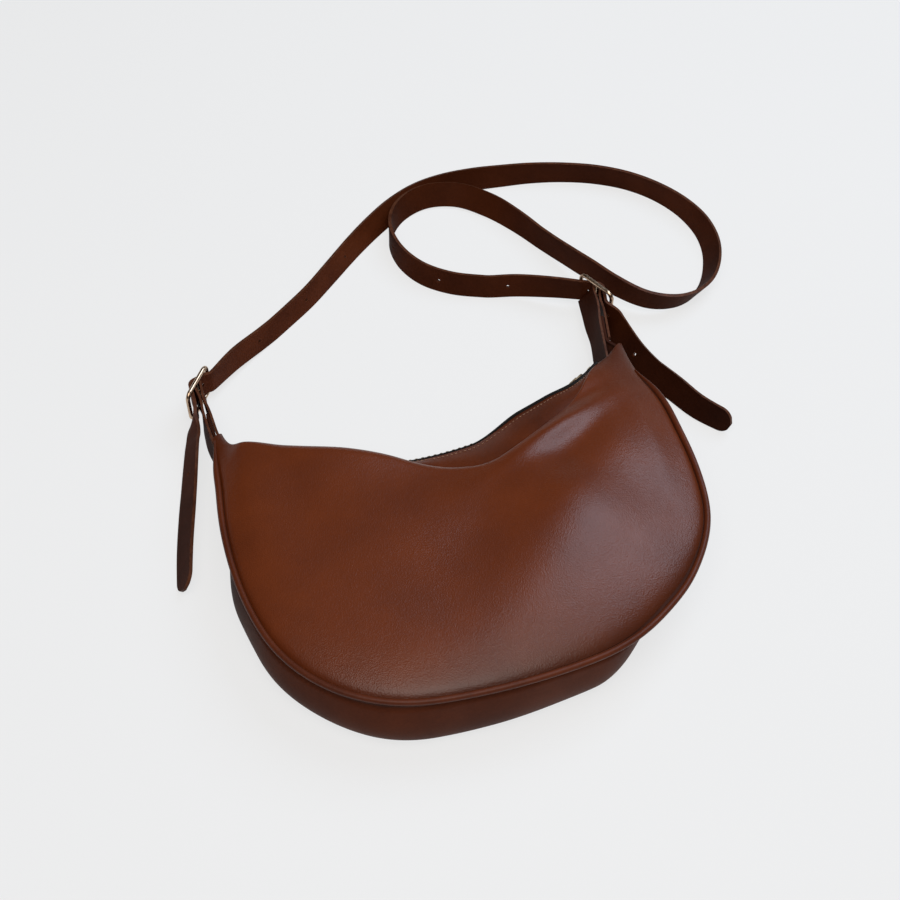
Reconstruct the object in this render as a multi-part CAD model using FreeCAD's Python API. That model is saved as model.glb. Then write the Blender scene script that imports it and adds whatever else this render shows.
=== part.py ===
import FreeCAD, Part
import math
import os

os.makedirs("parts", exist_ok=True)

# A soft half moon shoulder bag lying on its back: X runs across the bag, Y from its
# rounded bottom to its mouth, Z up from the surface it lies on. Lengths in millimetres.

# Half moon outline: bottom arc, lower corner arcs and side arcs, tangent to each other
bottom_radius = 317.0
corner_radius = 97.5
side_radius = 244.5
bottom_angle = 10.65
corner_angle = 77.7
side_angle = 108.0
bottom_reach = 105.0

# Leather shell
leather = 2.0
crown_height = 60.0
dome_radius = 550.0
back_inset = 10.0
gusset_swell = 6.5
gusset_lean = 5.0
swell_height_share = 0.3
straight_height = 30.0
piping_width = 4.6
piping_rise = 1.4
piping_round = 1.7
back_piping_lift = 0.5
seam_gap = 0.2
overrun = 40.0

# Mouth edge of the front panel, a rounded dip between the two ears
mouth_low = 47.0
mouth_radius = 70.0
mouth_angle = 27.0
ear_reach = 20.0
ear_outer = 4.0
ear_inner = 9.0
ear_radius = 16.0
back_ear_reach = 10.0

# Zip: two rows of teeth on tapes bent round one upright arc
zip_low = 67.0
zip_end_gap = 11.0
zip_end_rise = 1.9
zip_row_share = 0.903
zip_height = 27.0
zip_gap = 6.0
tape_thick = 1.0
tape_height = 9.0
front_tape_height = 5.2
tooth_grip = 1.6
tooth_height = 3.0
tooth_depth = 2.6
tooth_width = 2.2
tooth_pitch = 4.0
facing_thick = 1.6
back_facing_lap = 4.0
stop_share = 0.95
stop_width = 3.2
stop_wall = 0.8

# Zip slider and its pull
slider_share = 0.861
slider_length = 11.0
slider_height = 14.4
slider_plate = 1.2
slider_round = 3.0
slider_clear = 0.4
post_length = 5.0
post_clear = 0.5
bail_width = 2.2
bail_length = 7.0
bail_room = 2.3
bail_wire = 1.2
pull_length = 21.0
pull_width = 6.4
pull_thick = 1.4
pull_clear = 0.4
pull_round = 1.9

# Lining
lining_thick = 0.8
lining_inset = 5.0

# Strap tabs, one folded leather strip at each ear
tab_reach = 72.5
tab_length = 56.0
tab_width = 18.5
tab_leather = 1.5
tab_height = 18.5
left_tab_angle = 1.0
right_tab_angle = 13.5
tongue_length = 46.0
tongue_ease = 14.0
tongue_thick = 1.9
tongue_trim = 0.6

# Centre bar buckles, upright in the tabs
rod_radius = 1.4
bar_radius = 1.3
frame_half_length = 14.0
frame_half_height = 11.8
frame_corner = 4.5
frame_angle = 38.5
bar_clear = 0.3
prong_radius = 1.0
prong_wall = 1.2
prong_height = 3.6
prong_over = 2.4
prong_clear = 0.35
slot_clear = 0.8
prong_slot_share = 0.7
prong_swing_angles = (-6.0, -2.0, 2.0, 6.0, 10.0, 14.0)

# Strap, one belt from tail to tail, standing on its edge
strap_width = 18.5
strap_thick = 2.2
strap_clear = 0.4
rod_room = 1.6
thread_reach = 30.0
thread_flare = 1.6
thread_lead = 9.0
lead_angle = 20.0
rest_gap = 0.1
strap_spread = 300.0
strap_step = 6.5
rise_run = 85.0
hole_radius = 1.5
hole_pitch = 49.0
tail_hole_count = 2
run_hole_count = 3
# Places along the threaded part of the belt, from the far rod to beside the tab
thread_line_shares = (0.0, 0.35, 0.7, 0.9)
thread_bend_shares = (0.12, 0.34, 0.56, 0.78, 1.0)
thread_tab_shares = (0.1, 0.25, 0.45, 0.7, 1.0)

# Bottom edge of the belt between the buckles: across, along and lean in degrees
run_shares = (
    (-0.3283, 0.6610, 11.0),
    (-0.2620, 0.7060, 11.0),
    (-0.1900, 0.7577, 9.5),
    (-0.1200, 0.8110, 12.0),
    (-0.0500, 0.8690, 15.5),
    (0.0200, 0.9280, 19.0),
    (0.0840, 0.9760, 23.0),
    (0.1480, 1.0163, 27.0),
    (0.2140, 1.0450, 28.0),
    (0.2800, 1.0577, 24.0),
    (0.3540, 1.0580, 18.0),
    (0.4280, 1.0497, 12.0),
    (0.5020, 1.0393, 5.0),
    (0.5793, 1.0187, 0.0),
    (0.6533, 0.9863, -2.0),
    (0.7190, 0.9407, -3.0),
    (0.7703, 0.8800, 0.0),
    (0.8030, 0.8073, 9.0),
    (0.8123, 0.7287, 23.0),
    (0.7943, 0.6520, 33.0),
    (0.7507, 0.5883, 31.0),
    (0.6830, 0.5563, 21.0),
    (0.6083, 0.5670, 7.0),
    (0.5463, 0.6140, -3.0),
    (0.5023, 0.6803, -7.0),
    (0.4690, 0.7540, -7.0),
    (0.4370, 0.8283, -10.0),
    (0.3987, 0.8993, -19.0),
    (0.3530, 0.9630, -32.0),
    (0.2960, 1.0150, -37.0),
    (0.2243, 1.0323, -29.0),
    (0.1543, 1.0060, -14.0),
    (0.1113, 0.9483, 1.0),
    (0.1073, 0.8713, 10.0),
    (0.1370, 0.7993, 14.0),
    (0.1940, 0.7460, 13.0),
    (0.2657, 0.7107, 11.0),
    (0.3400, 0.6797, 11.0),
)

# Bottom edge of the tails, from each buckle to the rounded end
left_tail_shares = (
    (-0.4820, 0.4650, -20.0),
    (-0.5090, 0.3890, -33.0),
    (-0.5330, 0.3150, -37.0),
    (-0.5570, 0.2300, -35.0),
    (-0.5760, 0.1450, -31.0),
)
right_tail_shares = (
    (0.4960, 0.4110, 27.0),
    (0.5140, 0.3560, 31.0),
    (0.5455, 0.2925, 25.0),
    (0.5775, 0.2270, 18.5),
    (0.6190, 0.1715, 10.0),
)

LEFT = -1
RIGHT = 1
TAB_ANGLE = {LEFT: left_tab_angle, RIGHT: right_tab_angle}
UP = FreeCAD.Vector(0, 0, 1)


def point(x, y, z=0):
    return FreeCAD.Vector(x, y, z)


def save(name, shape):
    shape.exportStep("parts/%s.step" % name)


def raised(shape, height):
    lifted = shape.copy()
    lifted.translate(point(0, 0, height))
    return lifted


def arc_about(centre, radius, first, last, z):
    """Arc whose turns are measured from straight down, in degrees."""
    points = []
    for turn in (first, (first + last) / 2, last):
        angle = math.radians(turn)
        points.append(point(centre.x + radius * math.sin(angle), centre.y - radius * math.cos(angle), z))
    return Part.Arc(*points).toShape()


def outline_arcs():
    """Centre, radius and turns of the arcs from the bottom to the right ear."""
    low = math.radians(bottom_angle)
    high = math.radians(corner_angle)
    first = point(0, bottom_radius - bottom_reach)
    step = bottom_radius - corner_radius
    second = point(first.x + step * math.sin(low), first.y - step * math.cos(low))
    step = corner_radius - side_radius
    third = point(second.x + step * math.sin(high), second.y - step * math.cos(high))
    return (
        (first, bottom_radius, -bottom_angle, bottom_angle),
        (second, corner_radius, bottom_angle, corner_angle),
        (third, side_radius, corner_angle, side_angle),
    )


def moon_edges(offset, z):
    """Edges of the half moon outline from the left ear round to the right ear."""
    bottom, corner, side = outline_arcs()
    edges = []
    for centre, radius, first, last in (side, corner):
        mirrored = point(-centre.x, centre.y)
        edges.append(arc_about(mirrored, radius + offset, -last, -first, z))
    centre, radius, first, last = bottom
    edges.append(arc_about(centre, radius + offset, first, last, z))
    for centre, radius, first, last in (corner, side):
        edges.append(arc_about(centre, radius + offset, first, last, z))
    return edges


def moon_end(side, offset, z=0):
    centre, radius, first, last = outline_arcs()[-1]
    angle = math.radians(last)
    reach = radius + offset
    return point(side * (centre.x + reach * math.sin(angle)), centre.y - reach * math.cos(angle), z)


def moon_band(outer, inner, z):
    """Closed wire between two offsets of the half moon outline."""
    edges = moon_edges(outer, z)
    edges.append(Part.makeLine(moon_end(RIGHT, outer, z), moon_end(RIGHT, inner, z)))
    edges.extend(moon_edges(inner, z))
    edges.append(Part.makeLine(moon_end(LEFT, outer, z), moon_end(LEFT, inner, z)))
    return Part.Wire(Part.__sortEdges__(edges))


def tab_axes(side, turn=0):
    """Plan directions along and outward from a tab, or turned inward with its buckle."""
    angle = math.radians(TAB_ANGLE[side] - turn)
    along = point(side * math.sin(angle), math.cos(angle))
    outward = point(side * math.cos(angle), -math.sin(angle))
    return along, outward


def tab_root(side):
    return moon_end(side, -leather / 2)


def bar_centre(side):
    return tab_root(side) + tab_axes(side)[0] * tab_reach


def rounded_path(corners, radii):
    """Lines through the corners, each corner eased by a tangent arc of its radius."""
    edges = []
    start = corners[0]
    for before, corner, after, radius in zip(corners, corners[1:], corners[2:], radii):
        into = (corner - before).normalize()
        out = (after - corner).normalize()
        half = into.getAngle(out) / 2
        cut = radius * math.tan(half)
        first = corner - into * cut
        last = corner + out * cut
        bisector = (out - into).normalize()
        middle = corner + bisector * (radius / math.cos(half) - radius)
        edges.append(Part.makeLine(start, first))
        edges.append(Part.Arc(first, middle, last).toShape())
        start = last
    edges.append(Part.makeLine(start, corners[-1]))
    return edges


def ear_points(side, reach, outer, inner):
    along, outward = tab_axes(side)
    tip = tab_root(side) + along * reach
    return tip + outward * outer, tip - outward * inner


def mouth_knee(side):
    """Where the inner side of an ear meets the sloping mouth edge."""
    along, outward = tab_axes(side)
    start = ear_points(side, ear_reach, ear_outer, ear_inner)[1]
    slope = math.tan(math.radians(mouth_angle))
    base = mouth_base()
    drop = (start.y - base - slope * abs(start.x)) / (along.y - slope * side * along.x)
    return start - along * drop


def mouth_base():
    return mouth_low - mouth_radius * (1 / math.cos(math.radians(mouth_angle)) - 1)


def mouth_edges():
    """Front mouth edge from the right ear tip to the left ear tip."""
    corners = [ear_points(RIGHT, ear_reach, ear_outer, ear_inner)[1]]
    corners.append(mouth_knee(RIGHT))
    corners.append(point(0, mouth_base()))
    corners.append(mouth_knee(LEFT))
    corners.append(ear_points(LEFT, ear_reach, ear_outer, ear_inner)[1])
    return rounded_path(corners, (ear_radius, mouth_radius, ear_radius))


def front_outline():
    edges = moon_edges(0, 0)
    mouth = mouth_edges()
    for side in (RIGHT, LEFT):
        outer, inner = ear_points(side, ear_reach, ear_outer, ear_inner)
        edges.append(Part.makeLine(moon_end(side, 0), outer))
        edges.append(Part.makeLine(outer, inner))
    return Part.Wire(Part.__sortEdges__(edges + mouth))


def zip_half_chord():
    return tab_root(RIGHT).x - zip_end_gap


def zip_radius():
    """Radius of the arc through the low point of the mouth and its two ends by the ears."""
    rise = tab_root(RIGHT).y + zip_end_rise - zip_low
    return (zip_half_chord() ** 2 + rise**2) / (2 * rise)


def zip_end():
    """Turn of the zip's ends from its low point, in degrees."""
    return math.degrees(math.asin(zip_half_chord() / zip_radius()))


def zip_centre(z=0):
    return point(0, zip_low + zip_radius(), z)


def back_outline(offset, seat):
    """Half moon, short ears and an arc of the seat radius along the mouth."""
    edges = moon_edges(offset, 0)
    edges.append(arc_about(zip_centre(), seat, -zip_end(), zip_end(), 0))
    for side in (RIGHT, LEFT):
        angle = math.radians(zip_end())
        centre = zip_centre()
        end = point(side * seat * math.sin(angle), centre.y - seat * math.cos(angle))
        tip = end + tab_axes(side)[0] * back_ear_reach
        edges.append(Part.makeLine(end, tip))
        edges.append(Part.makeLine(tip, moon_end(side, offset)))
    return Part.Wire(Part.__sortEdges__(edges))


def prism(wire, low, high):
    face = Part.Face(raised(wire, low))
    return face.extrude(point(0, 0, high - low))


def dome(rise):
    """Ball whose top stands above the crown of the front panel by the rise."""
    return Part.makeSphere(dome_radius + rise, point(0, 0, crown_height - dome_radius))


def dome_height(x, y, rise=0):
    reach = dome_radius + rise
    return crown_height - dome_radius + math.sqrt(reach * reach - x * x - y * y)


def make_panels():
    block = prism(front_outline(), 0, crown_height + overrun)
    front = block.common(dome(0).cut(dome(-leather)))
    save("front_panel", front)
    seat = zip_radius() - tape_thick / 2 - facing_thick
    back = prism(back_outline(leather / 2 - back_inset, seat), 0, leather)
    save("back_panel", back)


def make_gusset():
    levels = []
    swell_at = leather + (crown_height - leather) * swell_height_share
    share = swell_height_share
    for z, offset, lean in (
        (leather, -back_inset, 0),
        (swell_at, gusset_swell - back_inset * (1 - share), gusset_lean),
        (straight_height, 0, 0),
        (crown_height, 0, 0),
    ):
        band = moon_band(offset, offset - leather, z)
        levels.append(band.translated(point(-lean, 0)))
    wall = Part.makeLoft(levels, True, True)
    wall = wall.common(dome(-leather))
    for side in (LEFT, RIGHT):
        wall = wall.fuse(make_tongue(side))
    save("gusset", wall.removeSplitter())


def make_tongue(side):
    """Stiff end of the gusset, gathered from the wall, that the tab is folded over."""
    along, outward = tab_axes(side)
    root = tab_root(side)
    half = tongue_thick / 2
    corners = []
    for u, w in (
        (-leather, half),
        (tongue_length, half),
        (tongue_length, -half),
        (tongue_ease, -half),
        (0, -back_inset),
        (-leather, -back_inset),
    ):
        corners.append(root + along * u + outward * w)
    wire = Part.makePolygon(corners + [corners[0]])
    half_height = tab_width / 2 - tongue_trim
    return prism(wire, tab_height - half_height, tab_height + half_height)


def make_piping():
    ring = prism(moon_band(piping_width, 0, 0), 0, crown_height + overrun)
    bead = ring.common(dome(piping_rise).cut(dome(piping_rise - piping_width)))
    long_edges = [e for e in bead.Edges if e.Length > piping_width * 2]
    save("front_piping", bead.makeFillet(piping_round, long_edges))
    start = leather / 2 - back_inset + seam_gap
    band = moon_band(start + piping_width, start, 0)
    bead = prism(band, back_piping_lift, back_piping_lift + piping_width)
    long_edges = [e for e in bead.Edges if e.Length > piping_width * 2]
    save("back_piping", bead.makeFillet(piping_round, long_edges))


def upright_band(inner, outer, low, high, turn):
    """Slice of an upright tube round the zip centre."""
    edges = [
        arc_about(zip_centre(), inner, -turn, turn, 0),
        arc_about(zip_centre(), outer, -turn, turn, 0),
    ]
    for side in (-1, 1):
        angle = math.radians(side * turn)
        ends = []
        for radius in (inner, outer):
            ends.append(zip_centre() + point(radius * math.sin(angle), -radius * math.cos(angle)))
        edges.append(Part.makeLine(*ends))
    return prism(Part.Wire(Part.__sortEdges__(edges)), low, high)


def tape(low, high):
    half = tape_thick / 2
    return upright_band(zip_radius() - half, zip_radius() + half, low, high, zip_end())


def place_on_zip(shape, turn):
    """Carry a shape built at the middle of the zip along the arc."""
    placed = shape.copy()
    placed.rotate(zip_centre(), UP, turn)
    return placed


def centred_box(length, depth, height, centre):
    corner = centre - point(length / 2, depth / 2, height / 2)
    return Part.makeBox(length, depth, height, corner)


def front_tape_top():
    return zip_height + zip_gap / 2 + tooth_height - tooth_grip + front_tape_height


def make_zip():
    tip = zip_gap / 2
    front = tape(zip_height + tip + tooth_height - tooth_grip, front_tape_top())
    back_top = zip_height - tip - tooth_height + tooth_grip
    back = tape(back_top - tape_height, back_top)
    save("front_zip_tape", front)
    save("back_zip_tape", back)
    lap_top = back_top - tape_height + back_facing_lap
    outer = zip_radius() - tape_thick / 2
    facing = upright_band(outer - facing_thick, outer, leather, lap_top, zip_end())
    sill = upright_band(outer, outer + tape_thick, leather, back_top - tape_height, zip_end())
    save("back_zip_facing", facing.fuse(sill).removeSplitter())
    for name, sign, band in (("front_zip_teeth", 1, front), ("back_zip_teeth", -1, back)):
        middle = zip_height + sign * (tip + tooth_height / 2)
        tooth = centred_box(tooth_width, tooth_depth, tooth_height, point(0, zip_low, middle))
        save(name, Part.makeCompound([t.cut(band) for t in teeth_along(tooth)]))
    for name, side in (("left_zip_stop", LEFT), ("right_zip_stop", RIGHT)):
        height = zip_gap + (tooth_height + stop_wall) * 2
        block = centred_box(stop_width, tooth_depth + stop_wall * 2, height, point(0, zip_low, zip_height))
        block = place_on_zip(block, side * zip_end() * stop_share)
        save(name, block.cut(front).cut(back))


def teeth_along(tooth):
    step = math.degrees(tooth_pitch / zip_radius())
    count = int(2 * zip_end() * zip_row_share / step)
    first = -count * step / 2
    return [place_on_zip(tooth, first + step * i) for i in range(count + 1)]


def ribbon(lows, highs, thick):
    """Strip between two rows of points, half its thickness on each side."""
    sections = []
    last = len(lows) - 1
    for i in range(len(lows)):
        ahead = lows[min(i + 1, last)] + highs[min(i + 1, last)]
        behind = lows[max(i - 1, 0)] + highs[max(i - 1, 0)]
        half = (ahead - behind).cross(highs[i] - lows[i]).normalize() * (thick / 2)
        corners = [lows[i] - half, highs[i] - half, highs[i] + half, lows[i] + half]
        sections.append(Part.makePolygon(corners + [corners[0]]))
    return Part.makeLoft(sections, True, True)


def mouth_y(x):
    """Height of the front mouth edge line at a place across the bag."""
    slope = math.tan(math.radians(mouth_angle))
    turn = mouth_radius * math.sin(math.radians(mouth_angle))
    if abs(x) > turn:
        return mouth_base() + slope * abs(x)
    return mouth_low + mouth_radius - math.sqrt(mouth_radius * mouth_radius - x * x)


def make_front_facing():
    """Leather strip turned over from the mouth edge down to the zip."""
    lows = []
    highs = []
    half = facing_thick / 2
    end = zip_radius() * math.sin(math.radians(zip_end())) - ear_inner
    steps = 40
    for i in range(steps + 1):
        x = end * (2 * i / steps - 1)
        y = mouth_y(x) + half + seam_gap
        lows.append(point(x, y, dome_height(x, y) - half))
        angle = math.asin(x / (zip_radius() - ear_inner))
        drop = point(zip_radius() * math.sin(angle), -zip_radius() * math.cos(angle))
        foot = zip_centre() + drop
        highs.append(point(foot.x, foot.y, front_tape_top() + half + seam_gap))
    save("front_zip_facing", ribbon(lows, highs, facing_thick))


def slider_face():
    """Outer face of the slider at the middle of the zip."""
    return zip_low + tooth_depth / 2 + slider_clear + slider_plate


def make_slider():
    """Two plates joined by the post that parts the rows, with a bail on the outside."""
    gap = tooth_depth / 2 + slider_clear
    post = centred_box(post_length, gap * 2, zip_gap - post_clear * 2, point(0, zip_low, zip_height))
    body = post
    for sign in (-1, 1):
        middle = point(0, zip_low + sign * (gap + slider_plate / 2), zip_height)
        plate = centred_box(slider_length, slider_plate, slider_height, middle)
        across = [e for e in plate.Edges if abs(e.Length - slider_plate) < slider_clear]
        body = body.fuse(plate.makeFillet(slider_round, across))
    foot = point(0, slider_face(), zip_height)
    rise = (bail_room + bail_wire) * 2
    arch = centred_box(bail_length, rise, bail_width, foot)
    room = centred_box(bail_length - bail_wire * 2, bail_room * 2, bail_width * 2, foot)
    outside = centred_box(bail_length * 2, rise, bail_width * 2, foot + point(0, rise / 2))
    body = body.fuse(arch.cut(room).common(outside)).removeSplitter()
    save("zip_slider", place_on_zip(body, zip_end() * slider_share))


def make_pull():
    """Flat pull lying along the zip, its end bar under the bail."""
    axis = point(0, slider_face() + bail_room / 2, zip_height)
    half = pull_thick / 2
    corner = axis - point(pull_length, half, pull_width / 2)
    blank = Part.makeBox(pull_length, pull_thick, pull_width, corner)
    across = [e for e in blank.Edges if abs(e.Length - pull_thick) < half]
    blank = blank.makeFillet(pull_round, [e for e in across if e.CenterOfMass.x < axis.x - half])
    pivot = Part.makeCylinder(half, pull_width, axis - UP * (pull_width / 2), UP)
    arch_corner = math.hypot(bail_length / 2, bail_room / 2 + bail_wire)
    eye_far = arch_corner + pull_clear
    eye_high = bail_width / 2 + pull_clear
    corner = axis - point(eye_far, pull_thick, eye_high)
    eye = Part.makeBox(eye_far - half, pull_thick * 2, eye_high * 2, corner)
    pull = blank.fuse(pivot).cut(eye).removeSplitter()
    save("zip_pull", place_on_zip(pull, zip_end() * slider_share))


def make_linings():
    hull = dome(-leather - seam_gap).cut(dome(-leather - seam_gap - lining_thick))
    save("front_lining", prism(lining_outline(), 0, crown_height + overrun).common(hull))
    offset = -back_inset - lining_inset
    edges = moon_edges(offset, 0)
    edges.append(Part.makeLine(moon_end(RIGHT, offset), moon_end(LEFT, offset)))
    floor = prism(Part.Wire(Part.__sortEdges__(edges)), leather, leather + lining_thick)
    throat = Part.makeCylinder(zip_radius() + tape_thick / 2 + seam_gap, crown_height, zip_centre())
    save("back_lining", floor.cut(throat))


def lining_outline():
    """Half moon closed by the mouth edge, drawn in from the seams."""
    edges = moon_edges(-lining_inset, 0)
    corners = [moon_end(RIGHT, -lining_inset)]
    corners.append(point(0, mouth_base() - lining_inset))
    corners.append(moon_end(LEFT, -lining_inset))
    edges.extend(rounded_path(corners, (mouth_radius,)))
    return Part.Wire(Part.__sortEdges__(edges))


def make_tab(side):
    """Leather strip folded round the bar, open at the slot for the prong."""
    along, outward = tab_axes(side)
    centre = bar_centre(side)
    inner = bar_radius + bar_clear
    outer = inner + tab_leather
    base_in = tongue_thick / 2 + seam_gap
    base_out = base_in + tab_leather

    def spot(u, w):
        return centre + along * u + outward * w

    edges = [
        Part.makeLine(spot(-tab_length, base_out), spot(0, outer)),
        Part.Arc(spot(0, outer), spot(outer, 0), spot(0, -outer)).toShape(),
        Part.makeLine(spot(0, -outer), spot(-tab_length, -base_out)),
        Part.makeLine(spot(-tab_length, -base_out), spot(-tab_length, -base_in)),
        Part.makeLine(spot(-tab_length, -base_in), spot(0, -inner)),
        Part.Arc(spot(0, -inner), spot(inner, 0), spot(0, inner)).toShape(),
        Part.makeLine(spot(0, inner), spot(-tab_length, base_in)),
        Part.makeLine(spot(-tab_length, base_in), spot(-tab_length, base_out)),
    ]
    wire = Part.Wire(edges)
    strip = prism(wire, tab_height - tab_width / 2, tab_height + tab_width / 2)
    slot_half = prong_height / 2 + slot_clear
    reach = outer + slot_clear
    corners = [spot(-reach, -reach), spot(reach, -reach), spot(reach, reach), spot(-reach, reach)]
    slot = prism(Part.makePolygon(corners + [corners[0]]), tab_height - slot_half, tab_height + slot_half)
    return strip.cut(slot)


def round_rod(edges):
    """Round wire along lines and arcs that run into each other."""
    lengths = []
    for edge in edges:
        start = edge.valueAt(edge.FirstParameter)
        way = edge.tangentAt(edge.FirstParameter)
        disc = Part.Face(Part.Wire(Part.makeCircle(rod_radius, start, way)))
        if isinstance(edge.Curve, Part.Line):
            lengths.append(disc.extrude(edge.valueAt(edge.LastParameter) - start))
        else:
            turn = math.degrees(edge.LastParameter - edge.FirstParameter)
            lengths.append(disc.revolve(edge.Curve.Center, edge.Curve.Axis, turn))
    return lengths[0].multiFuse(lengths[1:])


def make_frame(side):
    """Rounded wire frame with the bar across its middle."""
    along, outward = tab_axes(side, frame_angle)
    centre = bar_centre(side) + UP * tab_height
    reach = along * frame_half_length
    rise = UP * frame_half_height
    corners = [rise, reach + rise, reach - rise, -reach - rise, -reach + rise, rise]
    loop = round_rod(rounded_path([centre + c for c in corners], [frame_corner] * (len(corners) - 2)))
    bar = Part.makeCylinder(bar_radius, frame_half_height * 2, centre - rise, UP)
    return loop.fuse(bar)


def prong_line():
    """Start and tip of the prong beside the bar, in buckle directions."""
    start_u = bar_radius + bar_clear + prong_wall / 2
    rest_w = rod_radius + prong_radius + prong_clear
    start_w = rest_w / 2
    slope = (rest_w - start_w) / (frame_half_length - start_u)
    return (start_u, start_w), (frame_half_length + prong_over, rest_w + slope * prong_over)


def make_prong(side):
    """Prong with an eye round the bar, resting outside the far rod."""
    along, outward = tab_axes(side, frame_angle)
    centre = bar_centre(side) + UP * tab_height
    inner = bar_radius + bar_clear
    low = centre - UP * (prong_height / 2)
    start, tip = [centre + along * u + outward * w for u, w in prong_line()]
    pin = Part.makeCylinder(prong_radius, (tip - start).Length, start, tip - start)
    point_end = Part.makeSphere(prong_radius, tip)
    eye = Part.makeCylinder(inner + prong_wall, prong_height, low, UP)
    bore = Part.makeCylinder(inner, prong_height * 2, low - UP * (prong_height / 2), UP)
    return eye.fuse(pin).fuse(point_end).cut(bore).removeSplitter()


def buckle_crossing(side):
    """Plan places where the belt threads a buckle, from the run side to the tail side."""
    along, outward = tab_axes(side, frame_angle)
    centre = bar_centre(side)
    half = strap_thick / 2
    bend = bar_radius + bar_clear + tab_leather + strap_clear + half
    start_u = frame_half_length
    start_w = -(rod_radius + rod_room + half)
    first = math.atan2(start_w, start_u) + math.acos(bend / math.hypot(start_u, start_w))
    last = math.radians(90 + frame_angle)
    touch_u = bend * math.cos(first)
    touch_w = bend * math.sin(first)
    lead = math.radians(lead_angle)
    lead_u = start_u + thread_lead * math.cos(lead)
    lead_w = start_w - thread_lead * math.sin(lead)
    places = [centre + along * lead_u + outward * lead_w]
    for share in thread_line_shares:
        u = start_u + (touch_u - start_u) * share
        w = start_w + (touch_w - start_w) * share
        places.append(centre + along * u + outward * w)
    for share in thread_bend_shares:
        turn = first + (last - first) * share
        places.append(centre + along * (bend * math.cos(turn)) + outward * (bend * math.sin(turn)))
    along, outward = tab_axes(side)
    for share in thread_tab_shares:
        flare = thread_flare * share * share
        places.append(centre + outward * (bend + flare) - along * (thread_reach * share))
    return places


def route_points(table):
    return [(point(x * strap_spread, y * strap_spread), lean) for x, y, lean in table]


def belt_route():
    """Plan places and leans of the whole belt, from the left tail to the right tail."""
    route = list(reversed(route_points(left_tail_shares)))
    route += [(place, 0.0) for place in reversed(buckle_crossing(LEFT))]
    route += route_points(run_shares)
    route += [(place, 0.0) for place in buckle_crossing(RIGHT)]
    return route + route_points(right_tail_shares)


def belt_line():
    line = Part.BSplineCurve()
    line.interpolate([place for place, lean in belt_route()])
    return line


def belt_station(line, spots, stop):
    """Bottom edge, width direction and outward normal of the belt at one stop."""
    place = line.value(stop)
    heading = line.tangent(stop)[0]
    lean = spots[-1][1]
    for (first, low), (last, high) in zip(spots, spots[1:]):
        if first <= stop < last:
            lean = low + (high - low) * (stop - first) / (last - first)
    turn = math.radians(lean)
    side_way = UP.cross(heading)
    across = UP * math.cos(turn) + side_way * math.sin(turn)
    away = min((place - bar_centre(side)).Length for side in (LEFT, RIGHT))
    ease = max(0, 1 - away / rise_run)
    lift = (tab_height - strap_width / 2) * ease * ease * (3 - 2 * ease)
    foot = strap_thick / 2 * abs(math.sin(turn)) + rest_gap
    return place + UP * max(lift, foot), across, across.cross(heading)


def prong_room(side):
    """Room through the belt for the prong at each of its swings round the bar."""
    along, outward = tab_axes(side, frame_angle)
    centre = bar_centre(side)
    start, tip = [along * u + outward * w for u, w in prong_line()]
    way = (tip - start).normalize()
    spread = prong_radius + strap_clear
    half = UP.cross(way) * spread
    near = centre + start - way * spread
    far = centre + start + way * frame_half_length * prong_slot_share
    corners = [near - half, far - half, far + half, near + half]
    slot = prism(Part.makePolygon(corners + [corners[0]]), tab_height - spread, tab_height + spread)
    rooms = []
    for swing in prong_swing_angles:
        room = slot.copy()
        room.rotate(centre, UP, -side * swing)
        rooms.append(room)
    return rooms


def belt_holes(line, spots):
    """Round holes either side of each buckle, one pitch apart."""
    holes = []
    for side, run_way in ((LEFT, 1), (RIGHT, -1)):
        base = line.length(line.FirstParameter, line.parameter(buckle_crossing(side)[1]))
        for way, count in ((run_way, run_hole_count), (-run_way, tail_hole_count)):
            for k in range(1, count + 1):
                stop = line.parameterAtDistance(base + way * hole_pitch * k, line.FirstParameter)
                low, across, normal = belt_station(line, spots, stop)
                start = low + across * (strap_width / 2) - normal * strap_thick
                holes.append(Part.makeCylinder(hole_radius, strap_thick * 2, start, normal))
    return holes


def tail_ends(line, spots):
    """What is cut away to round the two tips of the belt."""
    waste = []
    half = strap_width / 2
    for stop, way in ((line.FirstParameter, -1), (line.LastParameter, 1)):
        low, across, normal = belt_station(line, spots, stop)
        heading = line.tangent(stop)[0] * way
        middle = low + across * half - heading * half
        base = middle - normal * strap_width
        corners = []
        for ahead, rise in ((0, -1), (1, -1), (1, 1), (0, 1)):
            corners.append(base + heading * (strap_width * ahead) + across * (strap_width * rise))
        slab = Part.Face(Part.makePolygon(corners + [corners[0]])).extrude(normal * (strap_width * 2))
        waste.append(slab.cut(Part.makeCylinder(half, strap_width * 2, base, normal)))
    return waste


def belt_stops(line, spots):
    """Stops close enough together for the belt to bend smoothly."""
    stops = []
    for (first, lean), (last, next_lean) in zip(spots, spots[1:]):
        count = max(1, round(line.length(first, last) / strap_step))
        stops += [first + (last - first) * i / count for i in range(count)]
    return stops + [spots[-1][0]]


def make_strap():
    line = belt_line()
    spots = [(line.parameter(place), lean) for place, lean in belt_route()]
    lows = []
    highs = []
    for stop in belt_stops(line, spots):
        low, across, normal = belt_station(line, spots, stop)
        lows.append(low)
        highs.append(low + across * strap_width)
    belt = ribbon(lows, highs, strap_thick)
    cuts = belt_holes(line, spots) + tail_ends(line, spots)
    cuts += prong_room(LEFT) + prong_room(RIGHT)
    return belt.cut(cuts)


make_panels()
make_gusset()
make_piping()
make_zip()
make_front_facing()
make_slider()
make_pull()
make_linings()
for name, side in (("left", LEFT), ("right", RIGHT)):
    save(name + "_tab", make_tab(side))
    save(name + "_buckle_frame", make_frame(side))
    save(name + "_buckle_prong", make_prong(side))
save("strap", make_strap())
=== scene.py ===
"""A soft half moon shoulder bag in brown leather, lying on its back with its belt laid in loops."""

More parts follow.
